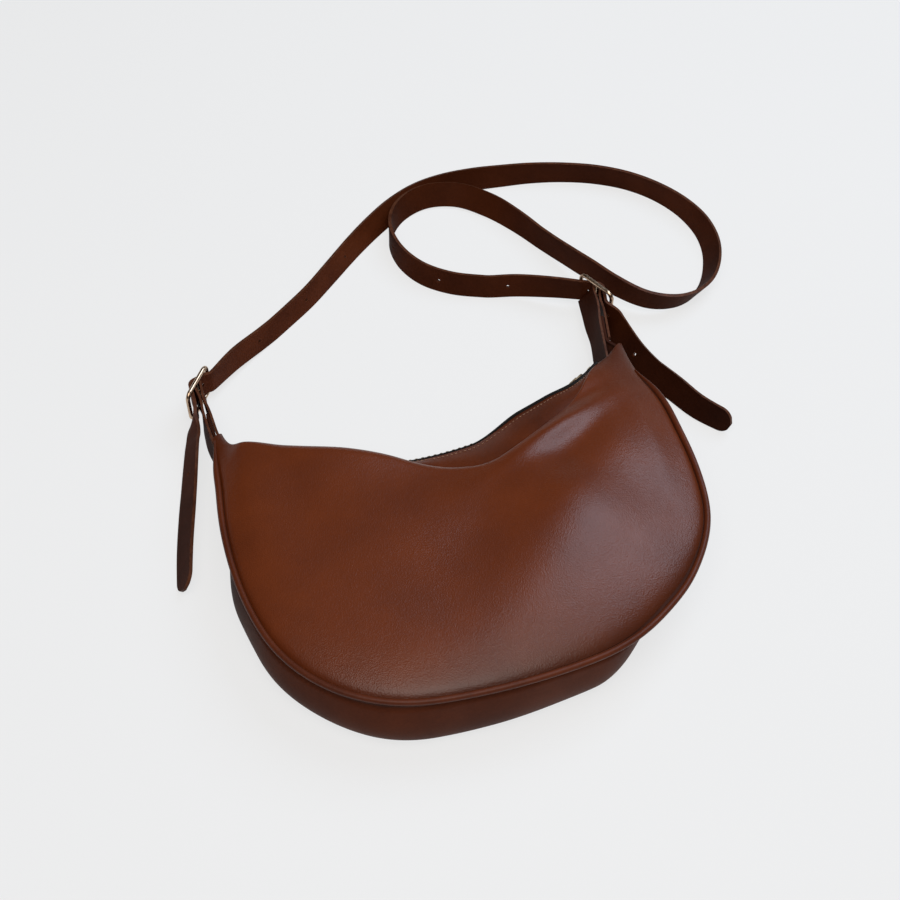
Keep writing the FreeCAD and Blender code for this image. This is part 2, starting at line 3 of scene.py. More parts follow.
import logging
import math
from bisect import bisect_right
from dataclasses import dataclass, field
from enum import Enum
from typing import Callable, NamedTuple, Sequence

import bmesh
import bpy
from mathutils import Matrix, Vector


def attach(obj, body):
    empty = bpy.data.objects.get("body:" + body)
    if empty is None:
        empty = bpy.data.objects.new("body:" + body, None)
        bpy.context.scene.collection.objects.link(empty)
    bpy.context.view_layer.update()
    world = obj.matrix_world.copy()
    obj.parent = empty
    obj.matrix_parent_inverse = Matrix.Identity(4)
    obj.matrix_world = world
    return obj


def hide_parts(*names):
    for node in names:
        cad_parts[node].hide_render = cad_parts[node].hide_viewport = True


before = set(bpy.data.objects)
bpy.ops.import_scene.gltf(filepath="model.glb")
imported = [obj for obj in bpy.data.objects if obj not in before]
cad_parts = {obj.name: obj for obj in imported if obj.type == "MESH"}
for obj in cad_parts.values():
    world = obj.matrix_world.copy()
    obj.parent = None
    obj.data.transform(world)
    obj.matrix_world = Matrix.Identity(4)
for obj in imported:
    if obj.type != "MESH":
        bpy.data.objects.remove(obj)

LOG = logging.getLogger("half_moon_bag")
MM = 0.001
UP = Vector((0.0, 0.0, 1.0))
WELD = 0.02 * MM
EDGE_ROUND = 0.3 * MM
EDGE_ANGLE = math.radians(60.0)
Piece = bpy.types.Object
Finish = bpy.types.Material
Socket = bpy.types.NodeSocket
Pair = tuple[float, float]
Triple = tuple[float, float, float]
Placer = Callable[[float, float], Vector]


class Side(Enum):
    """The two ends of the bag, by the sign of X."""

    LEFT = -1
    RIGHT = 1


class Row(Enum):
    """The two rows of the zip, by the side of the gap that they stand on."""

    FRONT = 1
    BACK = -1


def unit(value: float) -> float:
    """Return a value held between 0 and 1."""
    return min(1.0, max(0.0, value))


def blend(first: float, last: float, share: float) -> float:
    """Return the value a share of the way from first to last."""
    return first + (last - first) * share


def ease(low: float, high: float, value: float) -> float:
    """Return 0 below low, 1 above high and a soft step between."""
    share = unit((value - low) / (high - low))
    return share * share * (3.0 - 2.0 * share)


def ease_round(rise: float) -> float:
    """Return a rise from 0 to 1 that is drawn together at both ends."""
    return 0.5 - 0.5 * math.cos(math.pi * rise)


def hump(value: float, middle: float, width: float) -> float:
    """Return a soft hill of height 1 about middle."""
    return math.exp(-(((value - middle) / width) ** 2))


def side_at(share: float) -> Side:
    """Return the end of the bag that a share along it is nearer to."""
    return Side.LEFT if share < 0.5 else Side.RIGHT


@dataclass(frozen=True)
class Band:
    """A stretch over which something grows and fades again.

    Attributes:
        grow: Where it starts and where it is full, if it starts.
        fade: Where it starts to end and where it is gone, if it ends.
        much: What it amounts to where it is full.
    """

    grow: Pair | None = None
    fade: Pair | None = None
    much: float = 1.0

    def at(self, value: float) -> float:
        """Return what it amounts to at a value."""
        grown = ease(*self.grow, value) if self.grow else 1.0
        faded = ease(*self.fade, value) if self.fade else 0.0
        return self.much * grown * (1.0 - faded)


def through(points: Sequence[Vector], share: float) -> Vector:
    """Return a place on the smooth line through evenly counted points.

    Args:
        points: Places that the line passes through.
        share: Place along the line, from 0 to 1.

    Returns:
        The place on the line.
    """
    last = len(points) - 1
    spot = unit(share) * last
    k = min(int(spot), last - 1)
    t = spot - k
    p1 = points[k]
    p2 = points[k + 1]
    p0 = points[k - 1] if k > 0 else p1 * 2.0 - p2
    p3 = points[k + 2] if k + 2 <= last else p2 * 2.0 - p1
    return 0.5 * (
        p1 * 2.0
        + (p2 - p0) * t
        + (p0 * 2.0 - p1 * 5.0 + p2 * 4.0 - p3) * (t * t)
        + (p1 * 3.0 - p0 - p2 * 3.0 + p3) * (t * t * t)
    )


class Track:
    """A smooth line through points that can be read by its length."""

    def __init__(self, points: Sequence[Vector], steps: int = 12) -> None:
        """Sample the line between each pair of points.

        Args:
            points: Places that the line passes through.
            steps: Samples between one point and the next.
        """
        count = (len(points) - 1) * steps
        self.spots = [through(points, i / count) for i in range(count + 1)]
        self.runs = [0.0]
        for here, there in zip(self.spots, self.spots[1:]):
            self.runs.append(self.runs[-1] + (there.to_3d() - here.to_3d()).length)
        self.knots = [self.runs[i * steps] for i in range(len(points))]

    @property
    def length(self) -> float:
        """Return the length of the line."""
        return self.runs[-1]

    def at(self, run: float) -> Vector:
        """Return the place at a run along the line."""
        run = min(max(run, 0.0), self.length)
        k = min(bisect_right(self.runs, run), len(self.runs) - 1)
        low = self.runs[k - 1]
        step = self.runs[k] - low
        return self.spots[k - 1].lerp(self.spots[k], (run - low) / step if step else 0.0)

    def heading(self, run: float, reach: float = 1.0 * MM) -> Vector:
        """Return the unit direction of the line at a run along it."""
        return (self.at(run + reach) - self.at(run - reach)).normalized()


def bake(obj: Piece, crease: float = 40.0) -> Piece:
    """Settle the modifiers of a piece into its mesh and shade it smooth.

    Args:
        obj: The piece.
        crease: Angle in degrees past which an edge stays sharp.

    Returns:
        The same piece, with no modifiers.
    """
    graph = bpy.context.evaluated_depsgraph_get()
    mesh = bpy.data.meshes.new_from_object(
        obj.evaluated_get(graph), preserve_all_data_layers=True, depsgraph=graph
    )
    rough = obj.data
    obj.modifiers.clear()
    obj.data = mesh
    bpy.data.meshes.remove(rough)
    mesh.name = obj.name
    mesh.shade_smooth()
    mesh.set_sharp_from_angle(angle=math.radians(crease))
    return obj


def piece_from(name: str, bm: bmesh.types.BMesh, *finishes: Finish) -> Piece:
    """Put a bmesh into the scene as a new piece.

    Args:
        name: Name of the piece.
        bm: Its mesh, which is freed.
        finishes: Its materials, in slot order.

    Returns:
        The new piece at the origin.
    """
    mesh = bpy.data.meshes.new(name)
    bm.to_mesh(mesh)
    bm.free()
    for finish in finishes:
        mesh.materials.append(finish)
    obj = bpy.data.objects.new(name, mesh)
    bpy.context.scene.collection.objects.link(obj)
    return obj


def verts_of(parts: Sequence[object]) -> list[bmesh.types.BMVert]:
    """Return the vertices among the parts of a mesh."""
    return [part for part in parts if isinstance(part, bmesh.types.BMVert)]


def settle(piece: Piece, node: str = "") -> None:
    """Fix a finished piece to the bag and log it.

    Args:
        piece: The piece.
        node: The CAD part that it stands in for, if there is one.
    """
    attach(piece, "bag")
    if node:
        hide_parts(node)
    LOG.info("built %s: %d faces", piece.name, len(piece.data.polygons))


def dress(node: str, finish: Finish) -> None:
    """Give a carried over metal part its finish.

    Args:
        node: Name of the part.
        finish: Its finish.
    """
    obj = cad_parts[node]
    if not obj.material_slots:
        obj.data.materials.append(finish)
    for slot in obj.material_slots:
        slot.material = finish
    LOG.info("dressed %s", node)


def carve(piece: Piece, bm: bmesh.types.BMesh, finish: Finish) -> None:
    """Cut a shape out of a piece.

    Args:
        piece: The piece.
        bm: The shape, which is freed.
        finish: Finish of the cut.
    """
    bmesh.ops.recalc_face_normals(bm, faces=bm.faces)
    tool = piece_from(piece.name + "_cut", bm, finish)
    cut = piece.modifiers.new("cut", "BOOLEAN")
    cut.operation = "DIFFERENCE"
    cut.solver = "EXACT"
    cut.use_self = True
    cut.object = tool
    bpy.context.view_layer.update()
    bake(piece)
    mesh = tool.data
    bpy.data.objects.remove(tool)
    bpy.data.meshes.remove(mesh)


@dataclass
class Sheet:
    """Leather or cloth laid out as a grid and carried to its place.

    Attributes:
        name: Name of the piece.
        grid: Count of faces along its two directions.
        place: Place of each spot, its two shares running from 0 to 1.
        span: Real size in metres, which its UV map is drawn in.
        thick: Thickness, or 0 for a bare skin.
        side: Where the thickness lies: -1 below, 0 both sides, 1 above.
        flip: Whether the face that looks out is the other one.
        tube: Whether the second direction closes on itself.
        rounding: Radius of its cut edges.
        painted_shade: How far painted shade darkens each spot, from 0 to 1.
    """

    name: str
    grid: tuple[int, int]
    place: Placer
    span: Pair
    thick: float = 0.0
    side: float = -1.0
    flip: bool = False
    tube: bool = False
    rounding: float = 0.0
    painted_shade: Callable[[float, float], float] | None = None

    def mesh(self) -> bmesh.types.BMesh:
        """Return the bare skin, with its map and its painted shade."""
        half = 0.5
        bm = bmesh.new()
        uv = bm.loops.layers.uv.new("UVMap")
        columns, rows = self.grid
        bmesh.ops.create_grid(bm, x_segments=columns, y_segments=rows, size=half, calc_uvs=True)
        for face in bm.faces:
            for loop in face.loops:
                spot = loop.vert.co
                loop[uv].uv = ((spot.x + half) * self.span[0], (spot.y + half) * self.span[1])
        # Painted shade for each spot, kept as the point attribute that darkens the leather's colour
        tone = bm.verts.layers.float.new("painted_shade")
        for vert in bm.verts:
            share, rise = vert.co.x + half, vert.co.y + half
            vert[tone] = self.painted_shade(share, rise) if self.painted_shade else 0.0
            vert.co = self.place(share, rise)
        if self.tube:
            bmesh.ops.remove_doubles(bm, verts=bm.verts, dist=WELD)
            bmesh.ops.holes_fill(bm, edges=bm.edges, sides=0)
            bmesh.ops.recalc_face_normals(bm, faces=bm.faces)
        elif self.flip:
            bmesh.ops.reverse_faces(bm, faces=bm.faces)
        return bm

    def build(self, finish: Finish, edge: Finish | None = None) -> Piece:
        """Make the piece.

        Args:
            finish: Finish of its faces.
            edge: Finish of its cut edges, if it has its own.

        Returns:
            The new piece.
        """
        obj = piece_from(self.name, self.mesh(), finish, *([edge] if edge else []))
        if self.thick:
            wall = obj.modifiers.new("wall", "SOLIDIFY")
            wall.thickness = self.thick
            wall.offset = self.side
            wall.use_even_offset = True
            if edge:
                wall.material_offset_rim = 1
        if self.rounding:
            soft = obj.modifiers.new("soft", "BEVEL")
            soft.width = self.rounding
            soft.segments = 2
            soft.profile = 0.5
            soft.limit_method = "ANGLE"
            soft.angle_limit = EDGE_ANGLE
            soft.material = -1
        return bake(obj)


class Mixer:
    """A node tree that is filled step by step."""

    def __init__(self, name: str) -> None:
        """Start an empty procedural material."""
        self.material = bpy.data.materials.new(name)
        self.material.use_nodes = True
        self.tree = self.material.node_tree
        self.tree.nodes.clear()

    def add(
        self, kind: str, inputs: dict[str, object] | None = None, **settings: object
    ) -> bpy.types.Node:
        """Add a node.

        Args:
            kind: Node type without its ShaderNode prefix.
            inputs: Values of its sockets, or sockets to link to them.
            settings: Other settings of the node.

        Returns:
            The new node.
        """
        node = self.tree.nodes.new("ShaderNode" + kind)
        for key, value in settings.items():
            setattr(node, key, value)
        for key, value in (inputs or {}).items():
            socket = node.inputs[int(key)] if key.isdigit() else node.inputs[key]
            if isinstance(value, bpy.types.NodeSocket):
                self.tree.links.new(value, socket)
            else:
                socket.default_value = value
        return node

    def place(self, kind: str = "Object") -> Socket:
        """Return the coordinates that the finish is drawn on."""
        return self.add("TexCoord").outputs[kind]

    def noise(self, place: Socket, scale: float, detail: float = 2.0, **more: float) -> Socket:
        """Add a noise texture and return its value."""
        inputs = {"Vector": place, "Scale": scale, "Detail": detail, **more}
        return self.add("TexNoise", inputs).outputs["Fac"]

    def ramp(self, source: Socket, *stops: tuple[float, Triple]) -> Socket:
        """Add a colour ramp and return its colour."""
        node = self.add("ValToRGB", {"Fac": source})
        for mark, (spot, colour) in zip(node.color_ramp.elements, stops):
            mark.position = spot
            mark.color = (*colour, 1.0)
        return node.outputs["Color"]

    def maths(self, kind: str, first: object, second: object) -> Socket:
        """Add a Math node and return its value."""
        return self.add("Math", {"0": first, "1": second}, operation=kind).outputs[0]

    def range(self, source: Socket, low: float, high: float) -> Socket:
        """Carry a 0 to 1 value into another range."""
        inputs = {"Value": source, "To Min": low, "To Max": high}
        return self.add("MapRange", inputs).outputs["Result"]

    def bump(self, height: Socket, depth: float, strength: float, **more: Socket) -> Socket:
        """Add a Bump node and return its normal."""
        inputs = {"Height": height, "Distance": depth, "Strength": strength, **more}
        return self.add("Bump", inputs).outputs["Normal"]

    def done(self, shader: Socket) -> Finish:
        """Link the shader to the output and return the material."""
        self.add("OutputMaterial", {"Surface": shader})
        return self.material

    def surface(self, inputs: dict[str, object]) -> Finish:
        """Add the surface shader and return the finished material."""
        return self.done(self.add("BsdfPrincipled", inputs).outputs["BSDF"])


@dataclass(frozen=True)
class Leather:
    """Smooth brown leather with a fine pebble and a low sheen.

    Attributes:
        name: Name of the finish.
        light: Colour where it is worn light.
        dark: Colour in its darker clouds.
        rough: Its middle roughness.
        pebble: Size of one pebble of the grain in metres.
        depth: Depth of the grain in metres.
        shine: Strength of its mirror reflection.
        cloud_scale: Clouds of colour in a metre.
        speck_scale: Specks of colour in a metre.
        speck_share: Share of the specks in the colour.
        crease_scale: Fine creases in a metre.
        crease_depth: Depth of the creases in depths of the grain.
        rough_swing: Change of roughness between light and dark.
        darkest: Share of the colour that full painted shade takes away.
    """

    name: str
    light: Triple
    dark: Triple
    rough: float = 0.42
    pebble: float = 0.9 * MM
    depth: float = 0.05 * MM
    shine: float = 0.5
    cloud_scale: float = 22.0
    speck_scale: float = 620.0
    speck_share: float = 0.25
    crease_scale: float = 130.0
    crease_depth: float = 5.0
    rough_swing: float = 0.06
    darkest: float = 0.8

    def material(self) -> Finish:
        """Return the finished material."""
        mix = Mixer(self.name)
        place = mix.place()
        cloud = mix.noise(place, self.cloud_scale, 3.0, Roughness=0.55)
        speck = mix.noise(place, self.speck_scale)
        tone = mix.maths(
            "ADD",
            mix.maths("MULTIPLY", cloud, 1.0 - self.speck_share),
            mix.maths("MULTIPLY", speck, self.speck_share),
        )
        colour = mix.ramp(tone, (0.34, self.dark), (0.66, self.light))
        # Painted shade: the point attribute darkens the colour by up to darkest
        painted_shade = mix.add("Attribute", attribute_name="painted_shade").outputs["Fac"]
        painted_shading = mix.maths("SUBTRACT", 1.0, mix.maths("MULTIPLY", painted_shade, self.darkest))
        shade = mix.add("VectorMath", {"0": colour, "Scale": painted_shading}, operation="SCALE")
        cells = mix.add("TexVoronoi", {"Vector": place, "Scale": 1.0 / self.pebble})
        crease = mix.noise(place, self.crease_scale, 4.0, Roughness=0.6, Distortion=0.6)
        grain = mix.bump(cells.outputs["Distance"], self.depth, 0.7)
        return mix.surface(
            {
                "Base Color": shade.outputs["Vector"],
                "Roughness": mix.range(
                    tone, self.rough + self.rough_swing, self.rough - self.rough_swing
                ),
                "Normal": mix.bump(crease, self.depth * self.crease_depth, 0.22, Normal=grain),
                "Specular IOR Level": self.shine,
            }
        )


@dataclass(frozen=True)
class EdgePaint:
    """Painted cut edge of a leather strip, burnished lighter where it is rubbed.

    Attributes:
        name: Name of the finish.
        wear_and_painted_shade: Colour where the paint wears light.
        deep: Colour in its hollows.
        wear_scale: Spots of wear in a metre.
        wear_depth: Depth of the wear in metres.
    """

    name: str
    wear_and_painted_shade: Triple
    deep: Triple
    wear_scale: float = 240.0
    wear_depth: float = 0.12 * MM

    def material(self) -> Finish:
        """Return the finished material."""
        mix = Mixer(self.name)
        wear = mix.noise(mix.place(), self.wear_scale, 4.0, Roughness=0.65)
        return mix.surface(
            {
                "Base Color": mix.ramp(wear, (0.32, self.deep), (0.68, self.wear_and_painted_shade)),
                "Roughness": mix.range(wear, 0.60, 0.40),
                "Specular IOR Level": 0.1,
                "Normal": mix.bump(wear, self.wear_depth, 0.4),
            }
        )


@dataclass(frozen=True)
class Woven:
    """Plain woven cloth, drawn along the threads by its own map.

    Attributes:
        name: Name of the finish.
        light: Colour of the threads that lie on top.
        dark: Colour between the threads.
        pitch: Distance from one thread to the next in metres.
        relief: Height of a thread in metres.
    """

    name: str
    light: Triple
    dark: Triple
    pitch: float
    relief: float = 0.12 * MM

    def material(self) -> Finish:
        """Return the finished material."""
        mix = Mixer(self.name)
        flat = mix.place("UV")
        waves_per_scale = 20.0
        scale = 1.0 / (self.pitch * waves_per_scale) * 2.0 * math.pi
        inputs = {"Vector": flat, "Scale": scale, "Distortion": 0.4, "Detail": 1.0}
        warp, weft = (
            mix.add("TexWave", inputs, bands_direction=way).outputs["Fac"] for way in ("X", "Y")
        )
        threads = mix.maths("MULTIPLY", warp, weft)
        return mix.surface(
            {
                "Base Color": mix.ramp(threads, (0.05, self.dark), (0.6, self.light)),
                "Roughness": 0.85,
                "Specular IOR Level": 0.15,
                "Sheen Weight": 0.08,
                "Sheen Roughness": 0.5,
                "Normal": mix.bump(threads, self.relief, 0.5),
            }
        )


@dataclass(frozen=True)
class Plated:
    """Polished pale gold metal with hairline scratches and dulled clouds.

    Attributes:
        name: Name of the finish.
        bright: Colour of the polished metal.
        dull: Colour where it has dulled.
        rough: Its middle roughness.
        cloud_scale: Dulled clouds in a metre.
        hair_scales: Hairlines in a metre along X, Y and Z.
        hair_depth: Depth of a hairline in metres.
    """

    name: str
    bright: Triple
    dull: Triple
    rough: float
    cloud_scale: float = 160.0
    hair_scales: Triple = (1500.0, 1500.0, 120.0)
    hair_depth: float = 0.02 * MM

    def material(self) -> Finish:
        """Return the finished material."""
        mix = Mixer(self.name)
        place = mix.place()
        cloud = mix.noise(place, self.cloud_scale, 4.0)
        drawn = mix.add("Mapping", {"Vector": place, "Scale": self.hair_scales})
        hair = mix.noise(drawn.outputs["Vector"], 1.0)
        wear = mix.maths("MULTIPLY", cloud, hair)
        return mix.surface(
            {
                "Base Color": mix.ramp(cloud, (0.35, self.dull), (0.65, self.bright)),
                "Metallic": 1.0,
                "Roughness": mix.range(wear, self.rough - 0.06, self.rough + 0.22),
                "Normal": mix.bump(hair, self.hair_depth, 0.25),
            }
        )


class Finishes:
    """All the finishes of the bag, made once."""

    def __init__(self) -> None:
        """Make the materials."""
        self.shell = Leather(
            "shell_leather", (0.114, 0.0225, 0.0048), (0.086, 0.0160, 0.0032), 0.36,
            depth=0.14 * MM, shine=0.28,
        ).material()
        self.trim = Leather(
            "trim_leather", (0.090, 0.0180, 0.0044), (0.052, 0.0100, 0.0024), 0.44, shine=0.16
        ).material()
        self.gusset = Leather(
            "gusset_leather", (0.088, 0.0215, 0.0080), (0.054, 0.0130, 0.0050), 0.56, shine=0.06
        ).material()
        self.strap = Leather(
            "strap_leather", (0.082, 0.0180, 0.0050), (0.046, 0.0096, 0.0027), 0.60, 0.7 * MM,
            shine=0.03,
        ).material()
        self.edge = EdgePaint(
            "painted_edge", (0.090, 0.0300, 0.0130), (0.042, 0.0120, 0.0050)
        ).material()
        self.tape = Woven(
            "zip_tape", (0.012, 0.0065, 0.0045), (0.004, 0.0025, 0.0020), 0.5 * MM
        ).material()
        self.lining = Woven(
            "lining_cloth", (0.180, 0.110, 0.070), (0.080, 0.045, 0.028), 0.6 * MM
        ).material()
        self.thread = EdgePaint(
            "waxed_thread", (0.300, 0.170, 0.110), (0.170, 0.085, 0.050)
        ).material()
        self.teeth = Plated("zip_metal", (0.40, 0.28, 0.17), (0.22, 0.14, 0.08), 0.36).material()
        self.buckle = Plated(
            "buckle_metal", (0.56, 0.41, 0.29), (0.40, 0.27, 0.18), 0.27
        ).material()


@dataclass
class MoonOutline:
    """Half moon outline of three kinds of arcs, and the tabs that stand at its ends.

    Attributes:
        bottom_radius: Radius of the bottom arc.
        corner_radius: Radius of the lower corners.
        side_radius: Radius of the sides.
        turns: Turns from straight down where the arcs meet, in degrees.
        bottom_reach: Distance from the origin to the bottom.
        tab_turns: Lean of each tab away from straight up, in degrees.
        tab_reach: Distance from the end of the outline to the buckle bar.
        tab_sink: Distance of a tab's foot inside the outline.
        bar_level: Height of the middle of the buckles.
    """

    bottom_radius: float = 317.0 * MM
    corner_radius: float = 97.5 * MM
    side_radius: float = 244.5 * MM
    turns: Triple = (10.65, 77.7, 108.0)
    bottom_reach: float = 105.0 * MM
    tab_turns: dict[Side, float] = field(
        default_factory=lambda: {Side.LEFT: 1.0, Side.RIGHT: 13.5}
    )
    tab_reach: float = 72.5 * MM
    tab_sink: float = 1.0 * MM
    bar_level: float = 18.5 * MM

    def __post_init__(self) -> None:
        """Work out the arcs from the left end to the right end."""
        low, high, last = (math.radians(turn) for turn in self.turns)
        corner_step = self.bottom_radius - self.corner_radius
        side_step = self.corner_radius - self.side_radius
        first = Vector((0.0, self.bottom_radius - self.bottom_reach))
        second = first + Vector((math.sin(low), -math.cos(low))) * corner_step
        third = second + Vector((math.sin(high), -math.cos(high))) * side_step
        right = [(second, self.corner_radius, low, high), (third, self.side_radius, high, last)]
        left = [(Vector((-c.x, c.y)), r, -b, -a) for c, r, a, b in reversed(right)]
        self.arcs = [*left, (first, self.bottom_radius, -low, low), *right]
        self.length = sum(r * (b - a) for c, r, a, b in self.arcs)

    def at(self, share: float, offset: float = 0.0) -> tuple[Vector, Vector]:
        """Return a plan place on the outline and its outward direction.

        Args:
            share: Share of the outline's length from its left end.
            offset: Distance outward from the outline.

        Returns:
            The place and the unit outward direction.
        """
        run = unit(share) * self.length
        for centre, radius, first, last in self.arcs:
            span = radius * (last - first)
            if run <= span or (centre, radius, first, last) == self.arcs[-1]:
                turn = first + run / radius
                out = Vector((math.sin(turn), -math.cos(turn)))
                return centre + out * (radius + offset), out
            run -= span
        raise ValueError("no arc at this share")

    def axes(self, side: Side, turn: float = 0.0) -> tuple[Vector, Vector]:
        """Return the plan directions along a tab and outward from it.

        Args:
            side: Which tab.
            turn: Turn inward from the tab, in degrees.

        Returns:
            The unit directions along and outward.
        """
        angle = math.radians(self.tab_turns[side] - turn)
        sign = side.value
        along = Vector((sign * math.sin(angle), math.cos(angle)))
        return along, Vector((sign * math.cos(angle), -math.sin(angle)))

    def root(self, side: Side) -> Vector:
        """Return the foot of a tab on the outline."""
        return self.at(0.0 if side is Side.LEFT else 1.0, -self.tab_sink)[0]

    def bar(self, side: Side) -> Vector:
        """Return the plan place of a buckle's bar."""
        return self.root(side) + self.axes(side)[0] * self.tab_reach

    def box(self, side: Side, size: Triple, turn: float = 0.0, shift: Pair = (0.0, 0.0)) -> Matrix:
        """Return the matrix that carries a unit cube to a box at a buckle's bar.

        Args:
            side: Which buckle.
            size: Length, depth and height of the box.
            turn: Turn of the box inward from the tab, in degrees.
            shift: Distance of its middle from the bar, along and outward.

        Returns:
            The matrix.
        """
        along, out = self.axes(side, turn)
        spot = self.bar(side) + along * shift[0] + out * shift[1]
        way = Matrix(((along.x, out.x, 0.0), (along.y, out.y, 0.0), (0.0, 0.0, 1.0))).to_4x4()
        place = Matrix.Translation(Vector((*spot, self.bar_level)))
        return place @ way @ Matrix.Diagonal((*size, 1.0))


@dataclass
class ZipLine:
    """Arc of the zip round an upright axis behind the mouth.

    Attributes:
        outline: Plan outline of the bag.
        low: Lowest place of the arc.
        end_gap: Distance of its ends from the tab roots.
        end_rise: Rise of its ends above the tab roots.
        height: Height of its middle.
    """

    outline: MoonOutline
    low: float = 67.0 * MM
    end_gap: float = 11.0 * MM
    end_rise: float = 1.9 * MM
    height: float = 27.0 * MM

    def __post_init__(self) -> None:
        """Work out the radius and the turn of the ends."""
        root = self.outline.root(Side.RIGHT)
        half = root.x - self.end_gap
        rise = root.y + self.end_rise - self.low
        self.radius = (half * half + rise * rise) / (2.0 * rise)
        self.end = math.asin(half / self.radius)
        self.centre = Vector((0.0, self.low + self.radius))

    def at(self, turn: float, out: float, up: float) -> Vector:
        """Return a place by the turn from the middle, the distance outward and the rise."""
        reach = self.radius + out
        plan = self.centre + Vector((math.sin(turn), -math.cos(turn))) * reach
        return Vector((plan.x, plan.y, self.height + up))

    def turn_at(self, share: float) -> float:
        """Return the turn at a share of the way from the left end to the right one."""
        return blend(-self.end, self.end, share)


class SeamEdge(NamedTuple):
    """How the front leather lies beside its seam.

    Attributes:
        swell: Height that it swells to.
        swell_reach: Distance that the swell takes.
        settle_from: Distance from the seam where it starts to settle back.
        settle_to: Distance from the seam where it has settled.
        sink: Height that it settles back by.
        groove: Depth of the groove along the bead.
        groove_reach: Width of the groove.
    """

    swell: float
    swell_reach: float
    settle_from: float
    settle_to: float
    sink: float
    groove: float
    groove_reach: float


@dataclass(frozen=True)
class Fold:
    """A soft hill or hollow in the slack leather, in millimetres.

    Attributes:
        height: Its height, below 0 for a hollow.
        across: Middle and width of it across its length.
        along: Middle and width of it along its length.
        spot: Plan place that both are measured from.
        way: Cosine and sine of the turn of its length from X.
    """

    height: float
    across: Pair
    along: Pair
    spot: Pair = (0.0, 0.0)
    way: Pair = (1.0, 0.0)

    def at(self, x: float, y: float) -> float:
        """Return its height over a plan place."""
        right, up = x - self.spot[0], y - self.spot[1]
        across = up * self.way[0] - right * self.way[1]
        along = right * self.way[0] + up * self.way[1]
        return self.height * hump(across, *self.across) * hump(along, *self.along)


RIDGE = {"spot": (66.0, 44.0), "way": (0.923, 0.383)}
PILLOW = {"spot": (85.0, 20.0), "way": (0.748, 0.664)}
FOLDS = (
    Fold(-6.0, (52.0, 30.0), (0.0, 44.0)),
    Fold(2.6, (88.0, 34.0), (-90.0, 52.0)),
    Fold(4.2, (5.5, 8.5), (4.0, 42.0), **RIDGE),
    Fold(-2.0, (16.0, 6.0), (4.0, 42.0), **RIDGE),
    Fold(-1.8, (18.0, 12.0), (-2.0, 46.0), **PILLOW),
    Fold(5.5, (-5.0, 32.0), (-20.0, 85.0), **PILLOW),
)


